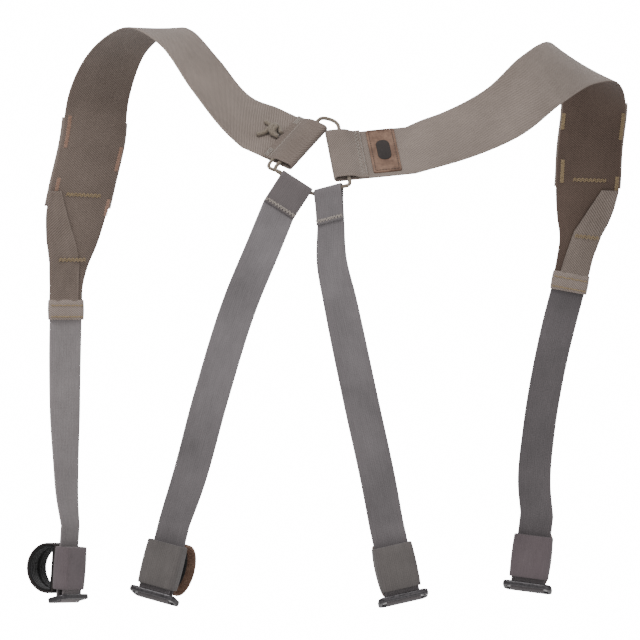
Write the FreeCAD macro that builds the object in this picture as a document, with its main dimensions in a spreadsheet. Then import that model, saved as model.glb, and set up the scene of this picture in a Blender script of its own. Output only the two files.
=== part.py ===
"""Four-strap harness as worn: a cord hub on the back, two wide straps over the
shoulders and four narrow straps that end in slider, keeper and leather loop.

Frame: millimetres, +Z up, +X to the right as seen from behind the wearer, +Y from the
wearer's back to the wearer's front.  The origin is the middle of the cord hub.
"""
import FreeCAD, Part
import math
import os

import Sketcher
from FreeCAD import Placement, Rotation, Vector

DIMENSIONS = {
    # webbing
    "wide_width": 49.0,
    "wide_thick": 1.6,
    "narrow_width": 26.0,
    "narrow_thick": 1.4,
    # cord hub
    "cord_diameter": 2.8,
    "cord_in_left": 10.0,
    "cord_in_right": 10.3,
    "left_low_reach": 8.0,
    "right_low_reach": 7.0,
    "left_top_reach": 8.0,
    "right_top_reach": 10.0,
    "hub_lean": 43.0,
    "left_hub_angle": 147.0,
    "right_hub_angle": 8.0,
    "wide_tunnel_gap": 3.4,
    "wide_ramp_at": 14.0,
    "wide_seam_at": 18.5,
    "wide_tail_at": 25.0,
    "left_flat_length": 44.0,
    "right_flat_length": 60.0,
    "rear_tunnel_radius": 1.85,
    "left_rear_inset": 6.5,
    "left_rear_fold_width": 26.0,
    "right_rear_inset": 2.8,
    "right_rear_fold_width": 22.0,
    "rear_ramp_at": 14.0,
    "rear_tail_at": 27.0,
    # slider: a flat frame with a round centre bar
    "slider_length": 38.0,
    "slider_depth": 17.0,
    "slider_thick": 4.0,
    "slider_corner": 3.0,
    "slider_bar": 3.2,
    "slot_length": 28.0,
    "slot_width": 4.0,
    "slider_tilt": 18.0,
    # strap end, heights measured up from the slider's bar
    "wrap_radius": 2.0,
    "tail_top": 40.0,
    "straight_top": 56.0,
    # keeper sleeve
    "keeper_low": 7.0,
    "keeper_height": 33.0,
    "keeper_width": 30.0,
    "keeper_depth": 13.0,
    "keeper_middle": 0.5,
    "keeper_wall": 1.4,
    "keeper_corner": 3.0,
    # leather loop and its lining
    "loop_radius": 19.5,
    "loop_out": 13.0,
    "loop_up": 22.5,
    "loop_flat": 7.0,
    "loop_width": 24.0,
    "leather_thick": 1.8,
    "lining_thick": 1.4,
    "lining_gap": 0.1,
    # sewn-on pieces
    "patch_length": 44.0,
    "patch_width": 21.0,
    "patch_thick": 1.4,
    "patch_corner": 1.0,
    "patch_at": 40.0,
    "emblem_length": 20.0,
    "emblem_width": 10.0,
    "emblem_thick": 0.5,
    "sleeve_width": 51.5,
    "sleeve_offset": 2.1,
    "band_width": 28.0,
    "band_thick": 6.0,
    "left_band_height": 12.5,
    "right_band_height": 11.5,
    "band_gap": 0.5,
    "stitch_width": 1.6,
    "stitch_thick": 0.5,
    "stitch_lift": 0.1,
    "knot_lift": 0.3,
}

SECTIONS_PER_SPAN = 3

# A station is (middle of the webbing, direction across it, width as a share of the full one,
# thickness as a multiple of one layer).  The shoulder straps run from the hub's flat stretch
# over the shoulder to the end band in front.
LEFT_SHOULDER = [
    ((-55.5, 28.0, 32.2), (-0.49, -0.73, -0.48), 1.0, 1.0),
    ((-81.2, 45.0, 62.8), (-0.41, -0.77, -0.48), 1.0, 1.0),
    ((-104.0, 70.0, 92.0), (-0.49, -0.84, -0.24), 1.0, 1.0),
    ((-127.0, 108.0, 99.6), (-0.68, -0.73, 0.03), 1.0, 1.0),
    ((-149.3, 136.0, 85.2), (-0.77, -0.63, 0.08), 1.0, 1.0),
    ((-165.1, 157.0, 53.2), (-0.93, -0.36, 0.1), 1.0, 1.0),
    ((-171.0, 165.0, 16.0), (-0.98, -0.16, 0.07), 1.0, 1.0),
    ((-179.5, 168.0, -20.0), (-0.99, -0.12, 0.05), 0.99, 1.0),
    ((-184.5, 169.0, -45.0), (-0.98, -0.18, 0.03), 0.92, 1.5),
    ((-186.5, 169.0, -63.0), (-0.97, -0.24, 0.0), 0.78, 2.4),
    ((-189.5, 168.5, -80.0), (-0.95, -0.3, 0.0), 0.62, 3.0),
    ((-191.2, 168.0, -96.0), (-0.94, -0.34, 0.0), 0.54, 3.2),
    ((-191.5, 168.0, -107.5), (-0.94, -0.34, 0.0), 0.54, 3.2),
]
RIGHT_SHOULDER = [
    ((82.0, 8.0, 9.0), (-0.2, 0.64, 0.74), 1.0, 1.0),
    ((102.4, 14.0, 15.7), (-0.32, 0.61, 0.73), 1.0, 1.0),
    ((140.5, 33.0, 34.0), (-0.5, 0.45, 0.74), 1.0, 1.0),
    ((171.0, 61.0, 60.0), (-0.62, 0.26, 0.74), 1.0, 1.0),
    ((196.0, 98.0, 74.3), (-0.71, 0.27, 0.65), 1.0, 1.0),
    ((211.0, 131.0, 67.5), (-0.88, 0.36, 0.33), 1.0, 1.0),
    ((215.0, 154.0, 43.2), (-0.99, 0.1, 0.05), 1.0, 1.0),
    ((212.0, 163.0, 10.3), (-1, 0.0, 0.02), 1.0, 1.0),
    ((210.5, 166.0, -18.5), (-1, 0.0, 0.04), 1.0, 1.0),
    ((207.5, 167.0, -42.0), (-1, 0.0, 0.08), 0.84, 1.8),
    ((204.0, 167.0, -59.0), (-0.99, 0.0, 0.12), 0.62, 2.8),
    ((200.5, 166.5, -74.0), (-0.98, 0.0, 0.16), 0.56, 3.2),
    ((197.8, 166.0, -87.0), (-0.98, 0.0, 0.18), 0.55, 3.2),
]
# The narrow straps, between their upper fixing and the straight stretch above the slider.
LEFT_REAR = [
    ((-36.5, -22.0, -65.0), (0.90, -0.12, -0.42), 1.0, 1.0),
    ((-53.5, -24.0, -106.0), (0.93, -0.05, -0.37), 1.0, 1.0),
    ((-76.0, -22.0, -178.0), (0.96, -0.05, -0.27), 1.0, 1.0),
    ((-93.0, -17.0, -240.0), (0.95, -0.22, -0.24), 1.0, 1.0),
]
RIGHT_REAR = [
    ((12.6, -20.0, -76.0), (0.95, -0.28, 0.15), 1.0, 1.0),
    ((18.8, -21.0, -106.0), (0.98, -0.10, 0.18), 1.0, 1.0),
    ((34.5, -19.0, -180.0), (0.98, 0.0, 0.20), 1.0, 1.0),
    ((47.5, -15.0, -240.0), (0.98, 0.08, 0.20), 1.0, 1.0),
]
LEFT_FRONT = [
    ((-191.8, 168.0, -121.5), (0.94, 0.34, 0.0), 1.0, 1.0),
    ((-192.2, 167.0, -150.0), (0.93, 0.36, 0.0), 1.0, 1.0),
    ((-192.2, 166.0, -190.0), (0.88, 0.47, 0.0), 1.0, 1.0),
    ((-191.4, 164.5, -230.0), (0.72, 0.69, 0.0), 1.0, 1.0),
    ((-190.2, 162.5, -258.0), (0.60, 0.80, 0.0), 1.0, 1.0),
]
RIGHT_FRONT = [
    ((194.8, 166.0, -100.0), (0.98, 0.0, -0.18), 1.0, 1.0),
    ((189.0, 166.0, -122.0), (0.96, -0.14, -0.22), 1.0, 1.0),
    ((180.0, 165.0, -162.0), (0.94, -0.28, -0.20), 1.0, 1.0),
    ((172.6, 164.0, -208.0), (0.94, -0.30, -0.12), 1.0, 1.0),
    ((169.4, 162.5, -248.0), (0.97, -0.22, -0.08), 1.0, 1.0),
]
# Where the cord turns between the two rear straps, and the way each of them hangs from it.
CORD_LOW_CORNER = Vector(-0.4, -12.6, -28.0)
LEFT_REAR_DOWN = Vector(-0.46, -0.14, -0.87)
RIGHT_REAR_DOWN = Vector(0.0, -0.17, -0.98)
# Strap ends: middle of the slider's bar, lean of the strap to the side, turn about the strap.
STRAP_ENDS = {
    "left_front": (Vector(-189.4, 160.0, -334.9), 4.0, -60.0),
    "left_rear": (Vector(-117.7, -12.0, -323.9), 14.0, 25.0),
    "right_rear": (Vector(65.7, -12.0, -325.8), -12.4, -8.0),
    "right_front": (Vector(164.1, 160.0, -326.1), 7.0, 10.0),
}

doc = FreeCAD.newDocument("four_strap_harness")
sheet = doc.addObject("Spreadsheet::Sheet", "dims")
nodes = []


def fill_sheet():
    for row, (alias, value) in enumerate(DIMENSIONS.items(), start=1):
        sheet.set(f"A{row}", alias)
        sheet.set(f"B{row}", str(value))
        sheet.setAlias(f"B{row}", alias)
    doc.recompute()


def size(alias):
    return float(sheet.get(alias))


def unit(vector):
    return Vector(vector).normalize()


# ---------------------------------------------------------------- frames


class Frame:
    """A local frame: across the webbing, out of its face, and along it."""

    def __init__(self, origin, across, along):
        self.origin = Vector(origin)
        self.across = unit(across)
        along = Vector(along)
        self.along = unit(along - self.across * along.dot(self.across))
        self.face = self.along.cross(self.across)

    def at(self, across, face, along):
        return self.origin + self.across * across + self.face * face + self.along * along


def hub_direction(angle):
    """A direction in the leaning plane of the hub, as an angle from +X."""
    lean, turn = math.radians(size("hub_lean")), math.radians(angle)
    upward = Vector(0, math.sin(lean), math.cos(lean))
    return Vector(1, 0, 0) * math.cos(turn) + upward * math.sin(turn)


def left_hub_frame():
    along = hub_direction(size("left_hub_angle"))
    across = hub_direction(size("left_hub_angle") + 90)
    origin = Vector(-3.7, 0, 0) + hub_direction(90) * 7.0
    return Frame(origin, across, along)


def right_hub_frame():
    along = hub_direction(size("right_hub_angle"))
    across = hub_direction(size("right_hub_angle") + 90)
    origin = Vector(12.1, 0, 0) - hub_direction(90) * 1.3
    return Frame(origin, across, along)


def end_frame(name):
    """across, face (the loop's side) and along (up the strap) at a strap's slider."""
    origin, lean, turn = STRAP_ENDS[name]
    lean, turn = math.radians(lean), math.radians(turn)
    along = Vector(math.sin(lean), 0, math.cos(lean))
    side = Vector(math.cos(lean), 0, -math.sin(lean))
    front = Vector(0, 1, 0)
    across = side * math.cos(turn) - front * math.sin(turn)
    return Frame(origin, across, along)


def placement_of(frame):
    return Placement(frame.origin, Rotation(frame.across, frame.face, frame.along, "ZXY"))


# ---------------------------------------------------------------- ribbons


def between(p0, p1, p2, p3, share):
    """Catmull-Rom spline through p1 and p2, with knots spaced by distance."""
    knots = [0.0]
    for a, b in ((p0, p1), (p1, p2), (p2, p3)):
        knots.append(knots[-1] + math.dist(a[:3], b[:3]))
    where = knots[1] + (knots[2] - knots[1]) * share

    def mix(a, b, low, high):
        part = (where - low) / (high - low)
        return [x + (y - x) * part for x, y in zip(a, b)]

    k0, k1, k2, k3 = knots
    a1, a2, a3 = mix(p0, p1, k0, k1), mix(p1, p2, k1, k2), mix(p2, p3, k2, k3)
    return mix(mix(a1, a2, k0, k2), mix(a2, a3, k1, k3), k1, k2)


def smooth(stations):
    """More sections between the stations, along a smooth line through them."""
    rows = [[*middle, *unit(Vector(*across)), wide, thick] for middle, across, wide, thick in stations]
    first = [2 * a - b for a, b in zip(rows[0], rows[1])]
    last = [2 * a - b for a, b in zip(rows[-1], rows[-2])]
    padded = [first, *rows, last]
    out = []
    for i in range(1, len(padded) - 2):
        for step in range(SECTIONS_PER_SPAN):
            out.append(between(*padded[i - 1:i + 3], step / SECTIONS_PER_SPAN))
    out.append(rows[-1])
    return out


def section_frames(stations, first_along=None, last_along=None):
    """(frame, width share, layers) at each section of a ribbon."""
    rows = smooth(stations)
    points = [Vector(*row[:3]) for row in rows]
    frames = []
    for i, row in enumerate(rows):
        along = points[min(i + 1, len(rows) - 1)] - points[max(i - 1, 0)]
        if i == 0 and first_along:
            along = first_along
        if i == len(rows) - 1 and last_along:
            along = last_along
        frames.append((Frame(points[i], Vector(*row[3:6]), along), row[6], row[7]))
    return frames


def section_wire(frame, width, thick):
    corners = [(-1, -1), (1, -1), (1, 1), (-1, 1)]
    points = [frame.at(a * width / 2, f * thick / 2, 0) for a, f in corners]
    return Part.makePolygon(points + points[:1])


def ribbon(frames, width, thick):
    wires = [section_wire(frame, width * share, thick * layers) for frame, share, layers in frames]
    return Part.makeLoft(wires, True, True)


def station_at(frame, across, face, along):
    return (tuple(frame.at(across, face, along)), tuple(frame.across), 1.0, 1.0)


def outline_face(frame, edges):
    """A face in the plane of a frame's face and along directions.

    Each edge is a list of (face, along) points: two for a line, three for an arc.
    """
    shapes = []
    for edge in edges:
        points = [frame.at(0, f, s) for f, s in edge]
        if len(points) == 3:
            shapes.append(Part.Arc(*points).toShape())
        else:
            shapes.append(Part.LineSegment(*points).toShape())
    return Part.Face(Part.Wire(shapes))


def extruded(frame, edges, width):
    face = outline_face(frame, edges)
    face.translate(frame.across * (-width / 2))
    return face.extrude(frame.across * width)


def polyline(points):
    return [[a, b] for a, b in zip(points, points[1:])]


# ---------------------------------------------------------------- hub ends of the straps


def wide_hub_end(frame, flat_length):
    """Folded end of a shoulder strap: one layer, the fold round the cord, the sewn tail outside."""
    half = size("wide_thick") / 2
    inner = half + size("wide_tunnel_gap")
    outer = inner + 2 * half
    bend = (half + inner) / 2
    tip = -2 * half
    ramp, seam, tail = size("wide_ramp_at"), size("wide_seam_at"), size("wide_tail_at")
    outside = [[(-half, bend), (bend, tip + half), (outer, bend)]]
    outside += polyline([(outer, bend), (outer, ramp), (3 * half, seam), (3 * half, tail), (half, tail),
                         (half, flat_length), (-half, flat_length), (-half, bend)])
    hollow = [[(half, bend), (bend, half), (inner, bend)]]
    hollow += polyline([(inner, bend), (inner, ramp - half), (half, seam - half), (half, bend)])
    width = size("wide_width")
    return extruded(frame, outside, width).cut(extruded(frame, hollow, width + 2))


def shoulder_webbing(label, frame, flat_length, stations):
    flat_end = station_at(frame, 0, 0, flat_length)
    frames = section_frames([flat_end, *stations], first_along=frame.along)
    free = ribbon(frames, size("wide_width"), size("wide_thick"))
    add_feature(label, free.fuse(wide_hub_end(frame, flat_length)))
    return frames


def rear_fold(side):
    """A rear strap's folded end: its origin is the fold's edge, and the cord lies along it."""
    corners = cord_corners()
    first = 0 if side == "left" else 1
    across = unit(corners[first + 1] - corners[first])
    width = size(f"{side}_rear_fold_width")
    middle = corners[first] + across * (size(f"{side}_rear_inset") + width / 2)
    frame = Frame(middle, across, LEFT_REAR_DOWN if side == "left" else RIGHT_REAR_DOWN)
    frame.origin = frame.at(0, 0, -size("rear_tunnel_radius") - size("narrow_thick"))
    return frame


def rear_hub_end(frame, width):
    """Folded end of a rear strap: a round tunnel for the cord, then two sewn layers."""
    layer, hole = size("narrow_thick"), size("rear_tunnel_radius")
    outer = hole + layer
    ramp, tail = size("rear_ramp_at"), size("rear_tail_at")
    edges = [[(-outer, outer), (0, 0), (outer, outer)]]
    edges += polyline([(outer, outer), (layer, ramp), (layer, tail), (-layer, tail), (-layer, ramp),
                       (-outer, outer)])
    bore = Part.makeCylinder(hole, 2 * width, frame.at(-width, 0, outer), frame.across)
    return extruded(frame, edges, width).cut(bore)


def wrapped_end(frame):
    """The strap's lower end: straight down, under the slider's bar and up as the tail."""
    inner = size("wrap_radius")
    outer = inner + size("narrow_thick")
    top, tail = size("straight_top"), size("tail_top")
    edges = [[(outer, 0), (0, -outer), (-outer, 0)]]
    edges += polyline([(-outer, 0), (-outer, tail), (-inner, tail), (-inner, 0)])
    edges += [[(-inner, 0), (0, -inner), (inner, 0)]]
    edges += polyline([(inner, 0), (inner, top), (outer, top), (outer, 0)])
    return extruded(frame, edges, size("narrow_width"))


def narrow_webbing(label, end_name, stations, side=None):
    """A narrow strap; side names its folded end on the cord, if it has one."""
    end = end_frame(end_name)
    middle = size("wrap_radius") + size("narrow_thick") / 2
    rows, first_along = [*stations, station_at(end, 0, middle, size("straight_top"))], None
    if side:
        upper, fold_width = rear_fold(side), size(f"{side}_rear_fold_width")
        share = fold_width / size("narrow_width")
        start = upper.at(0, -size("narrow_thick") / 2, size("rear_tail_at"))
        rows.insert(0, (tuple(start), tuple(upper.across), share, 1.0))
        first_along = upper.along
    frames = section_frames(rows, first_along, end.along * -1)
    shape = ribbon(frames, size("narrow_width"), size("narrow_thick")).fuse(wrapped_end(end))
    if side:
        shape = shape.fuse(rear_hub_end(upper, fold_width))
    add_feature(label, shape)


# ---------------------------------------------------------------- cord hub


def rounded_path(points, reaches):
    """Straight runs joined by tangent arcs; a reach is how far from its corner an arc starts."""
    edges, start, radii = [], points[0], []
    for before, corner, after, reach in zip(points, points[1:], points[2:], reaches):
        back, ahead = unit(before - corner), unit(after - corner)
        half_turn = (math.pi - back.getAngle(ahead)) / 2
        radii.append(reach / math.tan(half_turn))
        enter, leave = corner + back * reach, corner + ahead * reach
        middle = corner + unit(back + ahead) * (math.hypot(radii[-1], reach) - radii[-1])
        edges += [Part.LineSegment(start, enter).toShape(), Part.Arc(enter, middle, leave).toShape()]
        start = leave
    edges.append(Part.LineSegment(start, points[-1]).toShape())
    print("cord radii", [round(radius, 1) for radius in radii])
    return Part.Wire(edges)


def tube(path, radius):
    first = path.Edges[0]
    direction = first.tangentAt(first.FirstParameter)
    ring = Part.Wire(Part.makeCircle(radius, first.valueAt(first.FirstParameter), direction))
    shape = path.makePipeShell([ring], True, False)
    expected = math.pi * radius ** 2 * path.Length
    print("cord volume", round(shape.Volume, 1), "expected", round(expected, 1))
    return shape


def cord_level():
    """How far the cord lies above the middle of a shoulder strap, inside its fold."""
    return (size("wide_thick") + size("wide_tunnel_gap")) / 2


def cord_corners():
    """The cord's corners, from the lower end of the left strap's fold round to its upper end."""
    left, right = left_hub_frame(), right_hub_frame()
    half, level = size("wide_width") / 2, cord_level()
    left_at, right_at = size("cord_in_left"), size("cord_in_right")
    return [
        left.at(half + size("left_low_reach"), level, left_at),
        CORD_LOW_CORNER,
        right.at(-half - size("right_low_reach"), level, right_at),
        right.at(half + size("right_top_reach"), level, right_at),
        left.at(-half - size("left_top_reach"), level, left_at),
    ]


def hub_cord():
    """One turn through the four folds; its ends meet inside the left strap's fold."""
    left, level = left_hub_frame(), cord_level()
    half_gap = 0.5
    first, last = (left.at(across, level, size("cord_in_left")) for across in (half_gap, -half_gap))
    route = [first, *cord_corners(), last]
    reaches = [6.3, 2.4, 4.2, 4.9, 4.9]
    add_feature("hub_cord", tube(rounded_path(route, reaches), size("cord_diameter") / 2))


def hub_knot():
    """The cord's two tied ends on the left strap, just past the sewn tail: one loop that crosses itself."""
    frame, radius = left_hub_frame(), size("cord_diameter") / 2
    level = size("wide_thick") / 2 + radius + size("knot_lift")
    route = [(-5.7, 0.0, 42.0), (3.6, 0.0, 34.5), (2.2, 0.8, 28.4), (-3.2, 1.6, 27.0), (-7.2, 2.6, 29.2),
             (-6.6, 3.4, 33.4), (8.5, 3.0, 39.5)]
    points = [frame.at(across, level + rise, along) for across, rise, along in route]
    reaches = [3.0, 2.6, 1.4, 2.2, 1.9]
    add_feature("hub_knot", tube(rounded_path(points, reaches), radius))


# ---------------------------------------------------------------- slider, keeper and loop


def origin_plane(body, role):
    return next(item for item in body.Origin.OriginFeatures if item.Role == role)


def new_body(label):
    body = doc.addObject("PartDesign::Body", label)
    body.Label = label
    return body


def new_sketch(body, name):
    sketch = body.newObject("Sketcher::SketchObject", name)
    sketch.AttachmentSupport = [(origin_plane(body, "XY_Plane"), "")]
    sketch.MapMode = "FlatFace"
    return sketch


def add_rectangle(sketch, name, wide, deep, middle_y="0"):
    """A rectangle centred on the Y axis; sizes and its middle's Y are sheet expressions."""
    first = sketch.GeometryCount
    corners = [Vector(-5, -5, 0), Vector(5, -5, 0), Vector(5, 5, 0), Vector(-5, 5, 0)]
    for a, b in zip(corners, corners[1:] + corners[:1]):
        sketch.addGeometry(Part.LineSegment(a, b))
    rules = [("Coincident", first + i, 2, first + (i + 1) % 4, 1) for i in range(4)]
    rules += [("Vertical", first + 1), ("Horizontal", first + 2), ("Vertical", first + 3)]
    rules += [("Symmetric", first, 1, first, 2, -2)]
    for rule in rules:
        sketch.addConstraint(Sketcher.Constraint(*rule))
    driven = [
        ("wide", Sketcher.Constraint("DistanceX", first, 1, first, 2, 10), wide),
        ("deep", Sketcher.Constraint("DistanceY", first + 1, 1, first + 1, 2, 10), deep),
        ("low", Sketcher.Constraint("DistanceY", -1, 1, first, 1, -5), f"{middle_y} - ({deep}) / 2"),
    ]
    for word, constraint, expression in driven:
        index = sketch.addConstraint(constraint)
        sketch.renameConstraint(index, f"{name}_{word}")
        sketch.setExpression(f"Constraints.{name}_{word}", expression)


def pad(body, name, sketch, length, both_ways=False):
    feature = body.newObject("PartDesign::Pad", name)
    feature.Profile = sketch
    feature.Midplane = both_ways
    feature.setExpression("Length", length)
    doc.recompute()
    return feature


def fillet_upright_edges(body, name, feature, radius):
    """Rounds the edges that run along the body's Z axis."""
    upright = []
    for number, edge in enumerate(feature.Shape.Edges, start=1):
        if abs(edge.tangentAt(edge.FirstParameter).z) > 0.99:
            upright.append(f"Edge{number}")
    fillet = body.newObject("PartDesign::Fillet", name)
    fillet.Base = (feature, upright)
    fillet.setExpression("Radius", radius)
    doc.recompute()
    return fillet


def pocket_through(body, name, sketch, before):
    pocket = body.newObject("PartDesign::Pocket", name)
    pocket.Profile = sketch
    pocket.Type = "ThroughAll"
    pocket.Midplane = True
    doc.recompute()
    assert pocket.Shape.Volume < before.Shape.Volume - 1, name
    return pocket


def tilted(frame, degrees):
    """The frame turned about its across direction; its face side goes up by so much."""
    turn = math.radians(degrees)
    return Frame(frame.origin, frame.across, frame.along * math.cos(turn) - frame.face * math.sin(turn))


def slider(label, frame):
    """Flat frame with two slots and a round bar between them, which the strap wraps."""
    body = new_body(label)
    outline = new_sketch(body, f"{label}_outline")
    add_rectangle(outline, "frame", "dims.slider_length", "dims.slider_depth")
    plate = pad(body, f"{label}_plate", outline, "dims.slider_thick", both_ways=True)
    rounded = fillet_upright_edges(body, f"{label}_corners", plate, "dims.slider_corner")
    window = new_sketch(body, f"{label}_window")
    add_rectangle(window, "window", "dims.slot_length", "2 * dims.slot_width + dims.slider_bar")
    pocket_through(body, f"{label}_opening", window, rounded)
    bar_sketch = body.newObject("Sketcher::SketchObject", f"{label}_bar_end")
    bar_sketch.AttachmentSupport = [(origin_plane(body, "YZ_Plane"), "")]
    bar_sketch.MapMode = "FlatFace"
    circle = Part.Circle(Vector(0, 0, 0), Vector(0, 0, 1), 1.0)
    bar_sketch.addGeometry(circle)
    bar_sketch.addConstraint(Sketcher.Constraint("Coincident", 0, 3, -1, 1))
    index = bar_sketch.addConstraint(Sketcher.Constraint("Diameter", 0, 2.0))
    bar_sketch.renameConstraint(index, "bar_size")
    bar_sketch.setExpression("Constraints.bar_size", "dims.slider_bar")
    pad(body, f"{label}_bar", bar_sketch, "dims.slot_length + 2", both_ways=True)
    body.Placement = placement_of(frame)
    nodes.append(body)


def keeper(label, frame):
    """Sleeve of folded webbing round the strap and its tail."""
    body = new_body(label)
    outline = new_sketch(body, f"{label}_outline")
    outline.setExpression("AttachmentOffset.Base.z", "dims.keeper_low")
    add_rectangle(outline, "outer", "dims.keeper_width", "dims.keeper_depth", "dims.keeper_middle")
    block = pad(body, f"{label}_block", outline, "dims.keeper_height")
    rounded = fillet_upright_edges(body, f"{label}_corners", block, "dims.keeper_corner")
    inside = new_sketch(body, f"{label}_inside")
    inside.setExpression("AttachmentOffset.Base.z", "dims.keeper_low")
    wall = "2 * dims.keeper_wall"
    add_rectangle(inside, "inner", f"dims.keeper_width - {wall}", f"dims.keeper_depth - {wall}",
                  "dims.keeper_middle")
    pocket_through(body, f"{label}_hollow", inside, rounded)
    body.Placement = placement_of(frame)
    nodes.append(body)


def d_bar(name, inset):
    """A bar of D section along X: a cylinder cut flat on the keeper's side."""
    round_bar = doc.addObject("Part::Cylinder", f"{name}_round")
    round_bar.setExpression("Radius", f"dims.loop_radius - ({inset})")
    round_bar.setExpression("Height", "dims.loop_width")
    round_bar.Placement = Placement(Vector(0, 0, 0), Rotation(Vector(0, 1, 0), 90))
    round_bar.setExpression("Placement.Base.x", "-dims.loop_width / 2")
    round_bar.setExpression("Placement.Base.y", "dims.loop_out")
    round_bar.setExpression("Placement.Base.z", "dims.loop_up")
    block = doc.addObject("Part::Box", f"{name}_block")
    block.setExpression("Length", "2 * dims.loop_width")
    block.setExpression("Width", "3 * dims.loop_radius")
    block.setExpression("Height", "4 * dims.loop_radius")
    block.setExpression("Placement.Base.x", "-dims.loop_width")
    block.setExpression("Placement.Base.y", f"dims.loop_flat + ({inset})")
    block.setExpression("Placement.Base.z", "dims.loop_up - 2 * dims.loop_radius")
    bar = doc.addObject("Part::Common", f"{name}_bar")
    bar.Base, bar.Tool = round_bar, block
    return bar


def loop_layer(label, frame, inset, thick):
    layer = doc.addObject("Part::Cut", label)
    layer.Label = label
    layer.Base = d_bar(f"{label}_outside", inset)
    layer.Tool = d_bar(f"{label}_inside", f"{inset} + {thick}")
    layer.Placement = placement_of(frame)
    nodes.append(layer)


def strap_end(name):
    frame = end_frame(name)
    slider(f"{name}_slider", tilted(frame, -size("slider_tilt")))
    keeper(f"{name}_keeper", frame)
    loop_layer(f"{name}_leather_loop", frame, "0", "dims.leather_thick")
    loop_layer(f"{name}_loop_lining", frame, "dims.leather_thick + dims.lining_gap", "dims.lining_thick")


# ---------------------------------------------------------------- sewn-on pieces


def flat_piece(label, frame, wide, deep, thick, corner, across, face, along):
    """A thin plate on a strap: wide runs across the strap and deep runs along it."""
    body = new_body(label)
    outline = new_sketch(body, f"{label}_outline")
    add_rectangle(outline, "plate", wide, deep)
    plate = pad(body, f"{label}_plate", outline, thick)
    fillet_upright_edges(body, f"{label}_corners", plate, corner)
    turn = Rotation(frame.across * -1, frame.along, frame.face, "ZXY")
    body.Placement = Placement(frame.at(across, face, along), turn)
    nodes.append(body)


def leather_patch():
    """Blank patch with a plain raised plate in its middle."""
    frame = right_hub_frame()
    base = size("wide_thick") / 2
    flat_piece("leather_patch", frame, "dims.patch_length", "dims.patch_width", "dims.patch_thick",
               "dims.patch_corner", 1.2, base, size("patch_at"))
    flat_piece("patch_emblem", frame, "dims.emblem_length", "dims.emblem_width", "dims.emblem_thick",
               "dims.emblem_width * 0.45", 1.2, base + size("patch_thick"), size("patch_at"))


def bar_tack(frame, across, along, length, base):
    """A thin bar of stitching across a strap, just above a face that is at height base."""
    thick, wide = size("stitch_thick"), size("stitch_width")
    box = Part.makeBox(length, thick, wide)
    corner = frame.at(across - length / 2, base + size("stitch_lift"), along - wide / 2)
    box.Placement = Placement(corner, placement_of(frame).Rotation)
    return box


def hub_stitching():
    left, right = left_hub_frame(), right_hub_frame()
    doubled = 1.5 * size("wide_thick")
    seam = size("wide_seam_at")
    bars = [bar_tack(left, 0, seam + 1.4, 46, doubled)]
    bars += [bar_tack(left, a, seam + 4.6, 8, doubled) for a in (-19, 19)]
    add_feature("left_hub_stitching", Part.makeCompound(bars))
    bars = [bar_tack(right, 0, seam + along, 44, doubled) for along in (1.6, 4.4)]
    add_feature("right_hub_stitching", Part.makeCompound(bars))


def rear_stitching(label, side):
    length = size(f"{side}_rear_fold_width") - 2
    bars = [bar_tack(rear_fold(side), 0, size("rear_tail_at") - 2.5, length, size("narrow_thick"))]
    add_feature(label, Part.makeCompound(bars))


def nearest(frames, height):
    """Number of the front run's section that is nearest to a height."""
    front = [i for i, item in enumerate(frames) if item[0].origin.y > 120]
    return min(front, key=lambda i: abs(frames[i][0].origin.z - height))


def accessory_sleeve(label, frames, top, bottom):
    """A second layer of webbing on the outer face of the front run."""
    run = [item for item in frames if item[0].origin.y > 150 and bottom < item[0].origin.z < top]
    moved = []
    for frame, _, _ in run:
        origin = frame.at(0, size("sleeve_offset"), 0)
        moved.append((Frame(origin, frame.across, frame.along), 1.0, 1.0))
    add_feature(label, ribbon(moved, size("sleeve_width"), size("wide_thick")))


def sleeve_bartacks(label, frames, places):
    """Bars along the strap's edges on its inner face; places: (height, share of half width)."""
    half = size("wide_width") / 2
    clear = 2 * size("stitch_lift") + size("stitch_thick") / 2
    bars = []
    for height, share in places:
        first = nearest(frames, height)
        run = []
        for frame, _, layers in frames[first:first + 2]:
            level = layers * size("wide_thick") / 2 + clear
            run.append((Frame(frame.at(share * half, -level, 0), frame.across, frame.along), 1.0, 1.0))
        bars.append(ribbon(run, size("stitch_width"), size("stitch_thick")))
    add_feature(label, Part.makeCompound(bars))


def end_band(label, station, height):
    """Sewn band in which the shoulder strap's folded end holds the narrow strap."""
    middle, across = Vector(*station[0]), Vector(*station[1])
    down = Vector(0, 0, -1)
    frame = Frame(middle, across, down)
    frame.origin = frame.at(0, 0, size("band_gap"))
    box = Part.makeBox(size("band_width"), size("band_thick"), height)
    corner = frame.at(-size("band_width") / 2, -size("band_thick") / 2, 0)
    box.Placement = Placement(corner, placement_of(frame).Rotation)
    upright = [edge for edge in box.Edges if abs(edge.tangentAt(edge.FirstParameter).dot(frame.along)) > 0.99]
    add_feature(label, box.makeFillet(1.5, upright))


# ---------------------------------------------------------------- the model


def add_feature(label, shape):
    feature = doc.addObject("Part::Feature", label)
    feature.Label = label
    feature.Shape = shape
    nodes.append(feature)


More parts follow.
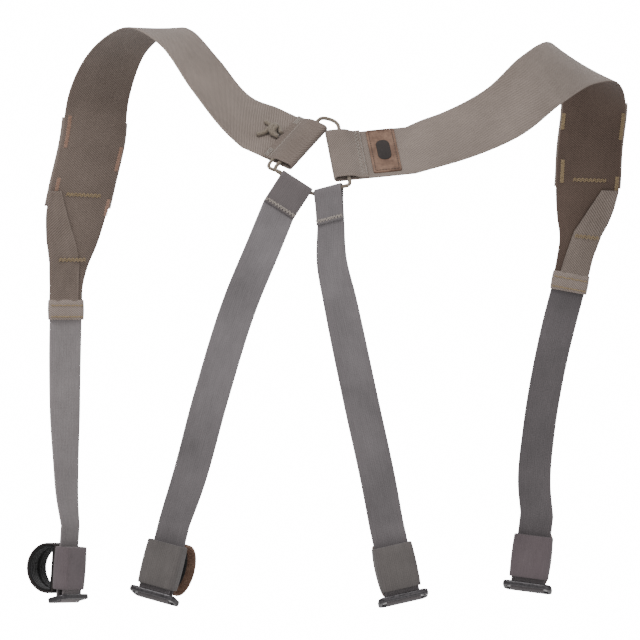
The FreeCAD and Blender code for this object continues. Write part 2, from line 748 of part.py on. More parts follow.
def build():
    fill_sheet()
    left = shoulder_webbing("left_shoulder_webbing", left_hub_frame(), size("left_flat_length"), LEFT_SHOULDER)
    right = shoulder_webbing("right_shoulder_webbing", right_hub_frame(), size("right_flat_length"),
                             RIGHT_SHOULDER)
    end_band("left_end_band", LEFT_SHOULDER[-1], size("left_band_height"))
    end_band("right_end_band", RIGHT_SHOULDER[-1], size("right_band_height"))
    narrow_webbing("left_rear_webbing", "left_rear", LEFT_REAR, "left")
    narrow_webbing("right_rear_webbing", "right_rear", RIGHT_REAR, "right")
    narrow_webbing("left_front_webbing", "left_front", LEFT_FRONT)
    narrow_webbing("right_front_webbing", "right_front", RIGHT_FRONT)
    hub_cord()
    hub_knot()
    leather_patch()
    hub_stitching()
    rear_stitching("left_rear_stitching", "left")
    rear_stitching("right_rear_stitching", "right")
    accessory_sleeve("left_accessory_sleeve", left, 36, -36)
    accessory_sleeve("right_accessory_sleeve", right, 50, -20)
    sleeve_bartacks("left_sleeve_bartacks", left, [(28, 0.85), (10, -0.9), (-16, 0.8), (-28, -0.9)])
    sleeve_bartacks("right_sleeve_bartacks", right, [(36, 0.9), (30, -0.9), (0, 0.85), (-12, -0.9)])
    for name in STRAP_ENDS:
        strap_end(name)
    doc.recompute()


def check_and_export():
    for item in doc.Objects:
        assert not {"Invalid", "Error"} & set(item.State), (item.Label, item.State)
    os.makedirs("parts", exist_ok=True)
    for node in nodes:
        assert not node.Shape.isNull() and node.Shape.isValid() and node.Shape.Solids, node.Label
        node.Shape.exportStep(f"parts/{node.Label}.step")
        print(node.Label, len(node.Shape.Solids), round(node.Shape.Volume, 1))


build()
check_and_export()
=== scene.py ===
"""Looks of the four-strap harness: woven straps, cord hub, leather, sliders and thread.

Lengths in the tables are millimetres in the row frame; meshes are made in metres.
"""
import math
import random

import bpy
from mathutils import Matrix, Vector


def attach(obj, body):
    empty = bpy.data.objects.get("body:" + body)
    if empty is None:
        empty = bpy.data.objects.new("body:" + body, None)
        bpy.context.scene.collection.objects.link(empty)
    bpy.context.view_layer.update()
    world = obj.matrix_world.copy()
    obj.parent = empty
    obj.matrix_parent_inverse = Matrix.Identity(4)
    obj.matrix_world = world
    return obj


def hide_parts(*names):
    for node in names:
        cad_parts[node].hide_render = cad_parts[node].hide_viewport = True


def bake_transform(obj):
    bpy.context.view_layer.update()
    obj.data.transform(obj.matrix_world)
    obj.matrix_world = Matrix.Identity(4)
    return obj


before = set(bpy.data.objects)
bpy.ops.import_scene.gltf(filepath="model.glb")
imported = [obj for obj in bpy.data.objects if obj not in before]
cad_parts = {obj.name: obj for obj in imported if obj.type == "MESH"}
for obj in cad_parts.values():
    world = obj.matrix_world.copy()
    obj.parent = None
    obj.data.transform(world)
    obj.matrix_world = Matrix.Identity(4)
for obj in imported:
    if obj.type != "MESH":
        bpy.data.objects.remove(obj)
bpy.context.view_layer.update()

MM = 0.001
random.seed(7)

# ---------------------------------------------------------------- camera and light

CAMERA_DISTANCE = 4.0
CAMERA_AIM = Vector((0.0044, 0.0, -0.1206))
SENSOR = 36.0
SEEN_WIDTH = 0.4736
ROOM_LIGHT, BACKDROP_LIGHT = 0.62, 16.0


def add_camera():
    data = bpy.data.cameras.new("camera")
    data.sensor_width = SENSOR
    data.lens = SENSOR * CAMERA_DISTANCE / SEEN_WIDTH
    data.clip_start, data.clip_end = 0.1, 100.0
    camera = bpy.data.objects.new("camera", data)
    camera.location = CAMERA_AIM + Vector((0, -CAMERA_DISTANCE, 0))
    camera.rotation_euler = (math.pi / 2, 0, 0)
    bpy.context.scene.collection.objects.link(camera)
    bpy.context.scene.camera = camera


def add_area(name, place, size, power):
    data = bpy.data.lights.new(name, "AREA")
    data.size, data.energy = size, power
    lamp = bpy.data.objects.new(name, data)
    lamp.location = place
    lamp.rotation_euler = (CAMERA_AIM - Vector(place)).to_track_quat("-Z", "Y").to_euler()
    bpy.context.scene.collection.objects.link(lamp)


def add_light():
    """Even light from all round, with a brighter sky where the background is looked at."""
    world = bpy.data.worlds.new("studio")
    world.use_nodes = True
    tree = world.node_tree
    background = tree.nodes["Background"]
    background.inputs["Color"].default_value = (1.0, 1.0, 1.0, 1.0)
    path = tree.nodes.new("ShaderNodeLightPath")
    strength = tree.nodes.new("ShaderNodeMapRange")
    strength.inputs["To Min"].default_value = ROOM_LIGHT
    strength.inputs["To Max"].default_value = BACKDROP_LIGHT
    tree.links.new(path.outputs["Is Camera Ray"], strength.inputs["Value"])
    tree.links.new(strength.outputs["Result"], background.inputs["Strength"])
    bpy.context.scene.world = world
    add_area("key", (-0.7, -1.1, 1.9), 1.2, 34.0)
    add_area("fill", (0.9, -2.2, 0.1), 1.6, 9.0)
    add_area("back", (0.3, 1.6, 1.0), 1.0, 8.0)


# ---------------------------------------------------------------- material nodes


class Nodes:
    """Short names for building a material's node tree."""

    def __init__(self, name):
        self.material = bpy.data.materials.new(name)
        self.material.use_nodes = True
        self.tree = self.material.node_tree
        self.shader = self.tree.nodes["Principled BSDF"]
        coords = self.tree.nodes.new("ShaderNodeTexCoord")
        self.uv, self.place = coords.outputs["UV"], coords.outputs["Object"]

    def add(self, kind, **values):
        node = self.tree.nodes.new(kind)
        for key, value in values.items():
            setattr(node, key, value)
        return node

    def feed(self, socket, value):
        if isinstance(value, bpy.types.NodeSocket):
            self.tree.links.new(value, socket)
        else:
            socket.default_value = value

    def math(self, operation, a, b=0.0, c=0.0):
        node = self.add("ShaderNodeMath", operation=operation)
        for socket, value in zip(node.inputs, (a, b, c)):
            self.feed(socket, value)
        return node.outputs[0]

    def split(self, vector):
        node = self.add("ShaderNodeSeparateXYZ")
        self.feed(node.inputs[0], vector)
        return node.outputs

    def vary(self, base, value, amount):
        """The base, moved by the amount times how far the value lies from one half."""
        return self.math("MULTIPLY_ADD", self.math("SUBTRACT", value, 0.5), amount, base)

    def scaled(self, vector, factors):
        node = self.add("ShaderNodeVectorMath", operation="MULTIPLY")
        self.feed(node.inputs[0], vector)
        node.inputs[1].default_value = factors
        return node.outputs[0]

    def noise(self, vector, scale, detail=3.0, rough=0.55):
        node = self.add("ShaderNodeTexNoise")
        self.feed(node.inputs["Vector"], vector)
        node.inputs["Scale"].default_value = scale
        node.inputs["Detail"].default_value = detail
        node.inputs["Roughness"].default_value = rough
        return node.outputs["Fac"]

    def range(self, value, low, high, to_low=0.0, to_high=1.0):
        node = self.add("ShaderNodeMapRange")
        for name, item in (("Value", value), ("From Min", low), ("From Max", high),
                           ("To Min", to_low), ("To Max", to_high)):
            self.feed(node.inputs[name], item)
        return node.outputs["Result"]

    def mix(self, share, a, b, kind="MIX"):
        node = self.add("ShaderNodeMix", data_type="RGBA", blend_type=kind)
        self.feed(node.inputs[0], share)
        self.feed(node.inputs[6], a)
        self.feed(node.inputs[7], b)
        return node.outputs[2]

    def wave(self, value, period):
        """0 to 1 and back over each period."""
        turned = self.math("MULTIPLY", value, 2 * math.pi / period)
        return self.math("MULTIPLY_ADD", self.math("SINE", turned), 0.5, 0.5)

    def bump(self, height, distance, strength=1.0):
        node = self.add("ShaderNodeBump")
        node.inputs["Distance"].default_value = distance
        node.inputs["Strength"].default_value = strength
        self.feed(node.inputs["Height"], height)
        self.feed(self.shader.inputs["Normal"], node.outputs["Normal"])

    def finish(self, colour, roughness=0.9, sheen=0.0, metallic=0.0, specular=0.3):
        self.feed(self.shader.inputs["Base Color"], colour)
        self.feed(self.shader.inputs["Roughness"], roughness)
        self.shader.inputs["Sheen Weight"].default_value = sheen
        self.shader.inputs["Metallic"].default_value = metallic
        self.shader.inputs["Specular IOR Level"].default_value = specular
        return self.material


def srgb(r, g, b):
    """A linear colour from 0-255 values."""
    return tuple((v / 255 / 12.92 if v <= 10 else ((v / 255 + 0.055) / 1.055) ** 2.4)
                 for v in (r, g, b)) + (1.0,)


# Painted shade: the darker, browner tint multiplied into shaded inner faces, folds, flaps and sewn tails.
PAINTED_SHADE_TINT = (0.43, 0.36, 0.33, 1.0)
# Multiplied in to make a strap's colour darker towards the bottom.
DOWNWARD_DARKENING_TINT = (0.70, 0.69, 0.69, 1.0)
# Heights in the row frame, in metres, between which a strap that asks for it goes darker downwards.
DARKENING_FROM, DARKENING_TO = -0.08, -0.33
# Each weave's ridge, yarn and weft as (share of u, share of v, period in metres), what each weighs
# in the height, how far the height darkens the colour, and the depth of the bump in metres.
WEAVES = {
    "twill": (((0.75, 1, 0.0016), (-1.3, 1, 0.0015), (0, 1, 0.0011)), (0.5, 0.35, 0.15), 0.62, 0.0003),
    "rib": (((1, 0, 0.0014), (0, 1, 0.0011), (1, 1, 0.0013)), (0.5, 0.3, 0.2), 0.12, 0.0001),
    "tight": (((1, 0, 0.0012), (0, 1, 0.0009), (1, 1, 0.0011)), (0.35, 0.4, 0.25), 0.1, 0.00008),
}


def webbing(name, dark, light, weave, half_width, darker_down=False):
    """Woven strap: u is metres across it and v is metres along it.

    The attribute "inner" is how much painted shade a vertex takes, 0 to 1, on shaded inner faces, folds,
    flaps and tails.
    """
    n = Nodes(name)
    u, v, _ = n.split(n.uv)
    jitter = n.noise(n.scaled(n.uv, (300, 300, 0)), 1.0)
    wobble = n.math("MULTIPLY", n.math("SUBTRACT", jitter, 0.5), 0.0006)
    u2, v2 = n.math("ADD", u, wobble), n.math("ADD", v, wobble)
    waves, weights, contrast, depth = WEAVES[weave]
    height = 0.0
    for (across, along, period), weight in zip(waves, weights):
        slanted = n.math("MULTIPLY_ADD", u2, across, n.math("MULTIPLY", v2, along))
        height = n.math("MULTIPLY_ADD", n.wave(slanted, period), weight, height)
    fuzz = n.noise(n.scaled(n.uv, (1600, 1600, 0)), 1.0, 2.0)
    streaks = n.noise(n.scaled(n.uv, (900, 60, 0)), 1.0, 2.0)
    patches = n.noise(n.place, 22.0, 4.0, 0.6)
    shade = 0.5
    for value, amount in ((fuzz, 0.6), (height, contrast * 2), (patches, 0.8), (streaks, 0.3)):
        shade = n.vary(shade, value, amount)
    colour = n.mix(n.range(shade, 0.1, 0.9), dark, light)
    # Painted highlight: paler colour along the selvedges, where light catches the rounded edges.
    edge = n.range(n.math("ABSOLUTE", u), half_width - 0.0014, half_width - 0.0002)
    selvedge_highlight = tuple(min(1.0, c * 1.2) for c in light[:3]) + (1.0,)
    colour = n.mix(n.math("MULTIPLY", edge, n.range(fuzz, 0.35, 0.65, 0.1, 0.5)), colour, selvedge_highlight)
    # Painted shade: the inner attribute darkens shaded inner faces, folds, flaps and tails.
    inner = n.add("ShaderNodeAttribute", attribute_name="inner").outputs["Fac"]
    colour = n.mix(inner, colour, PAINTED_SHADE_TINT, "MULTIPLY")
    # Colour made darker towards the bottom, between two heights.
    if darker_down:
        highlight_and_darkening_share = n.range(n.split(n.place)["Z"], DARKENING_FROM, DARKENING_TO)
        colour = n.mix(highlight_and_darkening_share, colour, DOWNWARD_DARKENING_TINT, "MULTIPLY")
    n.bump(n.math("MULTIPLY_ADD", fuzz, 0.3, height), depth)
    return n.finish(colour, n.range(fuzz, 0.3, 0.7, 0.82, 0.96), sheen=0.2, specular=0.2)


def leather(name, dark, light):
    n = Nodes(name)
    grain = n.add("ShaderNodeTexVoronoi")
    grain.inputs["Scale"].default_value = 900.0
    n.feed(grain.inputs["Vector"], n.place)
    pores = n.noise(n.place, 500.0, 5.0, 0.65)
    blotch = n.noise(n.place, 90.0, 4.0, 0.6)
    shade = n.math("MULTIPLY_ADD", pores, 0.45, n.math("MULTIPLY", blotch, 0.6))
    n.bump(n.math("MULTIPLY_ADD", grain.outputs["Distance"], 0.5, pores), 0.0003)
    colour = n.mix(n.range(shade, 0.35, 0.7), dark, light)
    return n.finish(colour, n.range(pores, 0.3, 0.7, 0.55, 0.8), specular=0.35)


def thread(name, dark, light):
    n = Nodes(name)
    fibres = n.noise(n.scaled(n.place, (2500, 2500, 2500)), 1.0, 2.0)
    n.bump(fibres, 0.0001)
    return n.finish(n.mix(n.range(fibres, 0.3, 0.7), dark, light), 0.75, sheen=0.2)


def braided_cord(name, dark, light):
    """u runs once round the cord and v is metres along it."""
    n = Nodes(name)
    u, v, _ = n.split(n.uv)
    strands, pitch = 4.0, 0.003
    along = n.math("MULTIPLY", v, 1 / pitch)
    ways = [n.wave(n.math("MULTIPLY_ADD", u, turn, along), 1.0) for turn in (strands, -strands)]
    height = n.math("MAXIMUM", *ways)
    fuzz = n.noise(n.place, 2200.0, 2.0)
    shade = n.math("MULTIPLY_ADD", fuzz, 0.5, n.math("MULTIPLY", height, 0.5))
    n.bump(n.math("MULTIPLY_ADD", fuzz, 0.2, height), 0.00012)
    return n.finish(n.mix(n.range(shade, 0.1, 0.95), dark, light), 0.85, sheen=0.25)


def lining_fabric(name, dark, light):
    n = Nodes(name)
    ribs = n.wave(n.split(n.uv)["Y"], 0.0022)
    fuzz = n.noise(n.place, 1800.0, 2.0)
    n.bump(n.math("MULTIPLY_ADD", fuzz, 0.3, ribs), 0.0005)
    shade = n.math("MULTIPLY_ADD", fuzz, 0.4, n.math("MULTIPLY", ribs, 0.6))
    return n.finish(n.mix(shade, dark, light), 0.8, sheen=0.15)


def metal_with_painted_rim(name):
    n = Nodes(name)
    grain = n.noise(n.place, 700.0, 4.0, 0.6)
    patches = n.noise(n.place, 120.0, 3.0)
    base = n.mix(n.range(grain, 0.3, 0.7), srgb(58, 56, 58), srgb(92, 89, 91))
    # Painted highlight: a pale rim colour on sharp edges, in patches, where light catches the rounded
    # metal.
    edges = n.add("ShaderNodeNewGeometry").outputs["Pointiness"]
    highlight_and_darkening_share = n.math("MULTIPLY", n.range(edges, 0.51, 0.57), n.range(patches, 0.35, 0.6, 0.4, 1.0))
    colour = n.mix(highlight_and_darkening_share, base, srgb(196, 194, 194))
    n.bump(grain, 0.00005)
    return n.finish(colour, n.range(grain, 0.3, 0.7, 0.26, 0.42), metallic=0.8, specular=0.5)


def pale_floor(name):
    n = Nodes(name)
    grain = n.noise(n.place, 3.0)
    return n.finish(n.mix(grain, (0.80, 0.80, 0.80, 1), (0.84, 0.84, 0.84, 1)), 0.9)


# Half widths in metres, where the painted highlight along a selvedge lies; the last puts it off the cloth.
WIDE_HALF, NARROW_HALF, NO_SELVEDGE = 0.0245, 0.013, 0.5
MATERIALS = {
    "wide": webbing("wide_twill", srgb(100, 89, 82), srgb(158, 144, 135), "twill", WIDE_HALF),
    "band": webbing("band_twill", srgb(116, 104, 97), srgb(180, 165, 156), "twill", NO_SELVEDGE),
    "narrow": webbing("narrow_rib", srgb(92, 88, 89), srgb(142, 136, 138), "rib", NARROW_HALF, True),
    "pale_front": webbing("pale_front_rib", srgb(114, 108, 108), srgb(172, 165, 166), "rib",
                          NARROW_HALF, True),
    "front": webbing("front_rib", srgb(74, 70, 71), srgb(116, 110, 112), "rib", NARROW_HALF),
    "keeper": webbing("keeper_weave", srgb(84, 75, 78), srgb(120, 109, 112), "tight", NO_SELVEDGE),
    "rib_keeper": webbing("keeper_rib", srgb(74, 70, 69), srgb(116, 110, 108), "rib", NO_SELVEDGE),
    "leather": leather("brown_leather", srgb(80, 57, 47), srgb(146, 116, 98)),
    "dark_leather": leather("dark_leather", srgb(34, 29, 28), srgb(58, 50, 48)),
    "gold": thread("gold_thread", srgb(120, 100, 72), srgb(182, 160, 124)),
    "copper": thread("copper_thread", srgb(132, 98, 82), srgb(196, 160, 140)),
    "grey": thread("grey_thread", srgb(122, 114, 107), srgb(184, 174, 165)),
    "dark": thread("dark_thread", srgb(52, 42, 38), srgb(92, 76, 66)),
    "cord": braided_cord("braided_cord", srgb(96, 86, 76), srgb(140, 128, 114)),
    "lining": lining_fabric("black_ribbed", srgb(12, 12, 13), srgb(42, 41, 42)),
    "metal": metal_with_painted_rim("dark_metal"),
}

# ---------------------------------------------------------------- frames and lines


class Frame:
    """A local frame: across the webbing, out of its face, and along it."""

    def __init__(self, origin, across, along):
        self.origin = Vector(origin)
        self.across = Vector(across).normalized()
        along = Vector(along)
        self.along = (along - self.across * along.dot(self.across)).normalized()
        self.face = self.along.cross(self.across)

    def at(self, across, face, along):
        return self.origin + self.across * across + self.face * face + self.along * along


def hub_direction(angle):
    lean, turn = math.radians(HUB_LEAN), math.radians(angle)
    upward = Vector((0, math.sin(lean), math.cos(lean)))
    return Vector((1, 0, 0)) * math.cos(turn) + upward * math.sin(turn)


def hub_frame(angle, left_shift, up_shift):
    origin = Vector((left_shift, 0, 0)) + hub_direction(90) * up_shift
    return Frame(origin, hub_direction(angle + 90), hub_direction(angle))


def end_frame(name):
    origin, lean, turn = STRAP_ENDS[name]
    lean, turn = math.radians(lean), math.radians(turn)
    along = Vector((math.sin(lean), 0, math.cos(lean)))
    side = Vector((math.cos(lean), 0, -math.sin(lean)))
    across = side * math.cos(turn) - Vector((0, 1, 0)) * math.sin(turn)
    return Frame(origin, across, along)


def between(p0, p1, p2, p3, share):
    """Catmull-Rom spline through p1 and p2, with knots spaced by distance."""
    knots = [0.0]
    for a, b in ((p0, p1), (p1, p2), (p2, p3)):
        knots.append(knots[-1] + math.dist(a[:3], b[:3]))
    where = knots[1] + (knots[2] - knots[1]) * share

    def mix(a, b, low, high):
        part = (where - low) / (high - low)
        return [x + (y - x) * part for x, y in zip(a, b)]

    k0, k1, k2, k3 = knots
    a1, a2, a3 = mix(p0, p1, k0, k1), mix(p1, p2, k1, k2), mix(p2, p3, k2, k3)
    return mix(mix(a1, a2, k0, k2), mix(a2, a3, k1, k3), k1, k2)


def chord(points, i):
    """From the point before the i-th to the one after it, or from or to the i-th at an end."""
    return points[min(i + 1, len(points) - 1)] - points[max(i - 1, 0)]


def strap_frames(stations, first_along=None, last_along=None, per_span=9):
    """(frame, width share, layers) along a smooth line through the stations."""
    rows = [[*middle, *Vector(across).normalized(), *(rest or (1.0, 1.0))]
            for middle, across, *rest in stations]
    first = [2 * a - b for a, b in zip(rows[0], rows[1])]
    last = [2 * a - b for a, b in zip(rows[-1], rows[-2])]
    padded, fine = [first, *rows, last], []
    for i in range(1, len(padded) - 2):
        fine += [between(*padded[i - 1:i + 3], step / per_span) for step in range(per_span)]
    fine.append(rows[-1])
    points = [Vector(row[:3]) for row in fine]
    frames = []
    for i, row in enumerate(fine):
        along = chord(points, i)
        if i == 0 and first_along:
            along = first_along
        if i == len(fine) - 1 and last_along:
            along = last_along
        frames.append((Frame(points[i], row[3:6], along), row[6], row[7]))
    return frames


def softened(points, rounds=2):
    """Corners of an open line cut off, rounds times over."""
    for _ in range(rounds):
        cut = [points[0]]
        for a, b in zip(points, points[1:]):
            cut.append(tuple(x * 0.75 + y * 0.25 for x, y in zip(a, b)))
            cut.append(tuple(x * 0.25 + y * 0.75 for x, y in zip(a, b)))
        points = [*cut, points[-1]]
    return points


def arc(middle, radius, start, end, steps=10):
    """(face, along) points on an arc; angles are degrees from the face direction."""
    angles = [math.radians(start + (end - start) * i / steps) for i in range(steps + 1)]
    return [(middle[0] + radius * math.cos(a), middle[1] + radius * math.sin(a)) for a in angles]


def folded_frames(base, line, share=1.0):
    """Frames of a strap that runs along a line of (face, along) points in a base frame."""
    points = [base.at(0, f, s) for f, s in line]
    return [(Frame(point, base.across, chord(points, i)), share, 1.0) for i, point in enumerate(points)]


# ---------------------------------------------------------------- meshes


def new_object(name, verts, faces, uvs, material, smooth=True):
    """uvs: one (u, v) for each vertex of each face, in the faces' order."""
    mesh = bpy.data.meshes.new(name)
    mesh.from_pydata([tuple(v * MM) for v in verts], [], faces)
    if uvs:
        layer = mesh.uv_layers.new(name="UVMap")
        flat = [c for face in uvs for uv in face for c in uv]
        layer.data.foreach_set("uv", flat)
    for polygon in mesh.polygons:
        polygon.use_smooth = smooth
    mesh.materials.append(MATERIALS[material])
    obj = bpy.data.objects.new(name, mesh)
    bpy.context.scene.collection.objects.link(obj)
    return obj


def put(obj, body, slot, *nodes):
    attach(obj, body)
    if nodes:
        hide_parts(*nodes)


def ring_faces(rings, count, closed=False):
    """Quads between neighbouring rings of count points; closed joins the last ring to the first."""
    faces = []
    for i in range(rings if closed else rings - 1):
        nxt = (i + 1) % rings
        for j in range(count):
            k = (j + 1) % count
            faces.append((i * count + j, i * count + k, nxt * count + k, nxt * count + j))
    return faces


def cap_faces(rings, count):
    """The flat ends of an open row of rings."""
    last = (rings - 1) * count
    return [tuple(range(count))[::-1], tuple(range(last, last + count))]


def loop_normals(loop):
    """Unit normals at the points of a closed loop, to the right of the way it runs."""
    normals = []
    for i, before in enumerate(loop[-1:] + loop[:-1]):
        after = loop[(i + 1) % len(loop)]
        dx, dy = after[0] - before[0], after[1] - before[1]
        length = math.hypot(dx, dy)
        normals.append((dy / length, -dx / length))
    return normals


def section_profile(half, thick, columns):
    """(across, face) points round a strap's section, with rounded selvedges."""
    edge = thick / 2
    inner = half - edge
    top = [(-inner + 2 * inner * i / columns, edge) for i in range(columns + 1)]
    right = [(inner + edge * math.sin(math.radians(turn)), edge * math.cos(math.radians(turn)))
             for turn in (45, 90, 135)]
    bottom = [(-a, -f) for a, f in top]
    left = [(-a, -f) for a, f in right]
    return top + right + bottom + left


def mark_painted_shade(obj, values):
    """How much painted shade each vertex takes, 0 to 1."""
    obj.data.attributes.new("inner", "FLOAT", "POINT").data.foreach_set("value", values)


def strap_mesh(name, frames, width, thick, material, columns=14, loose=0.0, inner=None):
    """A strap through frames; loose is how far its edges waver, in millimetres.

    inner(row, face) gives the share of painted shade for a vertex of a row, face out of its middle.
    """
    profiles = [section_profile(width * share / 2, thick * layers, columns) for _, share, layers in frames]
    count, verts, travelled = len(profiles[0]), [], [0.0]
    for (a, _, _), (b, _, _) in zip(frames, frames[1:]):
        travelled.append(travelled[-1] + (b.origin - a.origin).length)
    phase = random.uniform(0, 6)
    for (local, _, _), profile, far in zip(frames, profiles, travelled):
        for across, face in profile:
            lift = loose * (across / width * 2) * math.sin(far / 13 + phase) * math.sin(far / 31 + phase)
            verts.append(local.at(across, face + lift, 0))
    faces = ring_faces(len(frames), count) + cap_faces(len(frames), count)
    places = [(across * MM, far * MM) for profile, far in zip(profiles, travelled) for across, _ in profile]
    uvs = [[places[v] for v in face] for face in faces]
    obj = new_object(name, verts, faces, uvs, material)
    if inner:
        mark_painted_shade(obj, [inner(row, face) for row, profile in enumerate(profiles) for _, face in profile])
    return obj


def band_mesh(name, local, loop, low, high, wall, material, rise=0.0):
    """A band of a wall's thickness round a closed loop of (across, face) points.

    low and high are its edges along the frame, and rise is how far its middle swells.
    """
    count = len(loop)
    centre = [sum(p[i] for p in loop) / count for i in (0, 1)]
    normals = loop_normals(loop)
    inward = sum(n[0] * (p[0] - centre[0]) + n[1] * (p[1] - centre[1]) for n, p in zip(normals, loop)) < 0
    if inward:
        normals = [(-a, -b) for a, b in normals]
    edge = min(wall / 2, 0.7)
    section = [(wall / 2, low + edge)]
    section += [(wall / 2, low + edge + (high - low - 2 * edge) * t / 6) for t in range(1, 7)]
    side, cut = wall / 2, edge * 0.3
    section += [(side - cut, high - cut), (0, high), (cut - side, high - cut), (-side, high - edge)]
    section += [(-side, low + edge), (cut - side, low + cut), (0, low), (side - cut, low + cut)]
    around = [0.0]
    for a, b in zip(loop, loop[1:] + loop[:1]):
        around.append(around[-1] + math.dist(a, b))
    verts = []
    for point, normal in zip(loop, normals):
        for out, along in section:
            share = (along - low) / (high - low)
            swell = rise * math.sin(math.pi * share) if out > 0 else 0.0
            across, face = (p + n * (out + swell) for p, n in zip(point, normal))
            verts.append(local.at(across, face, along))
    faces = [face[:1] + face[:0:-1] for face in ring_faces(count, len(section), True)]
    uvs = []
    for a, b in zip(around, around[1:]):
        for (_, low_edge), (_, high_edge) in zip(section, section[1:] + section[:1]):
            corners = ((a, low_edge), (b, low_edge), (b, high_edge), (a, high_edge))
            uvs.append([(x * MM, y * MM) for x, y in corners])
    return new_object(name, verts, faces, uvs, material)


def rounded_loop(width, depth, corner, middle=0.0, steps=5, per_side=6):
    """A rounded rectangle of (across, face) points."""
    loop = []
    a, f = width / 2 - corner, depth / 2 - corner
    corners = [(a, f, 0), (-a, f, 90), (-a, -f, 180), (a, -f, 270)]
    for i, (x, y, start) in enumerate(corners):
        for step in range(steps + 1):
            turn = math.radians(start + 90 * step / steps)
            loop.append((x + corner * math.cos(turn), middle + y + corner * math.sin(turn)))
        nx, ny, nstart = corners[(i + 1) % 4]
        turn = math.radians(nstart)
        goal = (nx + corner * math.cos(turn), middle + ny + corner * math.sin(turn))
        here = loop[-1]
        loop += [tuple(p + (q - p) * s / per_side for p, q in zip(here, goal)) for s in range(1, per_side)]
    return loop


def tube_along(name, points, radius, material, around=10, closed=False):
    """A tube with uvs: u once round it and v metres along it."""
    count = len(points)
    normal, verts, travelled = None, [], [0.0]
    for a, b in zip(points, points[1:] + points[:1]):
        travelled.append(travelled[-1] + (b - a).length)
    for i, point in enumerate(points):
        run = points[(i + 1) % count] - points[i - 1] if closed else chord(points, i)
        tangent = run.normalized()
        if normal is None:
            normal = tangent.orthogonal()
        normal = (normal - tangent * normal.dot(tangent)).normalized()
        side = tangent.cross(normal)
        for k in range(around):
            turn = 2 * math.pi * k / around
            verts.append(point + (normal * math.cos(turn) + side * math.sin(turn)) * radius)
    faces, uvs = ring_faces(count, around, closed), []
    for low, high in zip(travelled, travelled[1:] if closed else travelled[1:-1]):
        for k in range(around):
            left, right = k / around, (k + 1) / around
            uvs.append([(left, low * MM), (right, low * MM), (right, high * MM), (left, high * MM)])
    if not closed:
        faces += cap_faces(count, around)
        uvs += [[(0.0, 0.0)] * around, [(0.0, 0.0)] * around]
    return new_object(name, verts, faces, uvs, material)


def nurbs_line(points, closed=False):
    """Points of a smooth NURBS line with these control points, in millimetres."""
    curve = bpy.data.curves.new("line", "CURVE")
    curve.dimensions = "3D"
    spline = curve.splines.new("NURBS")
    spline.points.add(len(points) - 1)
    for item, point in zip(spline.points, points):
        item.co = (*point, 1.0)
    spline.order_u = 3
    spline.use_endpoint_u = not closed
    spline.use_cyclic_u = closed
    spline.resolution_u = 10
    holder = bpy.data.objects.new("line", curve)
    mesh = bpy.data.meshes.new_from_object(holder)
    line = [v.co.copy() for v in mesh.vertices]
    bpy.data.objects.remove(holder)
    bpy.data.curves.remove(curve)
    return line


def joined(name, parts):
    """One object from several that share a material."""
    with bpy.context.temp_override(active_object=parts[0], selected_editable_objects=parts):
        bpy.ops.object.join()
    parts[0].name = name
    parts[0].data.name = name
    return parts[0]


# ---------------------------------------------------------------- stitches


def zigzag(start, end, pitch, swing, jitter, least, most):
    """Points to and fro across the line from start to end, a little unevenly."""
    length = math.dist(start, end)
    count = max(2, round(length / pitch))
    step_x, step_y = ((b - a) / length for a, b in zip(start, end))
    points = []
    for i in range(count + 1):
        far = length * i / count + random.uniform(-jitter, jitter)
        off = swing * (1 if i % 2 else -1) * random.uniform(least, most)
        points.append((start[0] + step_x * far - step_y * off, start[1] + step_y * far + step_x * off))
    return points


class Stitches:
    """Many short threads gathered into one mesh."""

    def __init__(self, name, material, radius=0.32):
        self.name, self.material, self.radius = name, material, radius
        self.verts, self.faces = [], []

    def thread(self, start, end, out):
        """A stitch from start to end that stands a little out of the webbing."""
        run = end - start
        length = run.length
        along = run.normalized()
        side = along.cross(out).normalized()
        rings = ((0.0, 0.25), (0.12, 0.8), (0.5, 1.0), (0.88, 0.8), (1.0, 0.25))
        base = len(self.verts)
        for share, swell in rings:
            lift = self.radius * (0.5 * math.sin(math.pi * share) - 0.1)
            middle = start + along * length * share + out * lift
            for k in range(6):
                turn = math.pi * k / 3
                spread = side * math.cos(turn) + out * math.sin(turn)
                self.verts.append(middle + spread * self.radius * swell)
        for i in range(len(rings) - 1):
            for k in range(6):
                m = (k + 1) % 6
                a, b = base + i * 6, base + (i + 1) * 6
                self.faces.append((a + k, a + m, b + m, b + k))
        self.faces += [tuple(base + k for k in range(6))[::-1],
                       tuple(base + (len(rings) - 1) * 6 + k for k in range(6))]

    def row(self, local, start, end, face, pitch, swing, out_sign=1):
        """A zigzag from start to end, both (across, along) in a local frame."""
        line = zigzag(start, end, pitch, swing, 0.12, 0.88, 1.0)
        points = [local.at(across, face, along) for across, along in line]
        for a, b in zip(points, points[1:]):
            self.thread(a, b, local.face * out_sign)

    def straight(self, local, start, end, face, pitch, out_sign=1):
        """A running line of stitches with small gaps between them."""
        length = math.dist(start, end)
        count = max(1, round(length / pitch))
        for i in range(count):
            low, high = (i + 0.08) / count, (i + 0.92) / count
            ends = [local.at(start[0] + (end[0] - start[0]) * s, face, start[1] + (end[1] - start[1]) * s)
                    for s in (low, high)]
            self.thread(*ends, local.face * out_sign)

    def build(self):
        uvs = [[(0.0, 0.0)] * len(face) for face in self.faces]
        return new_object(self.name, self.verts, self.faces, uvs, self.material)


# ---------------------------------------------------------------- the object's tables

HUB_LEAN = 43.0
WIDE, WIDE_THICK = 49.0, 1.6
NARROW, NARROW_THICK = 26.0, 1.4
CORD_RADIUS = 1.4
CORD_IN_LEFT, CORD_IN_RIGHT = 10.0, 10.3
LEFT_HUB = hub_frame(147.0, -3.7, 7.0)
RIGHT_HUB = hub_frame(8.0, 12.1, -1.3)
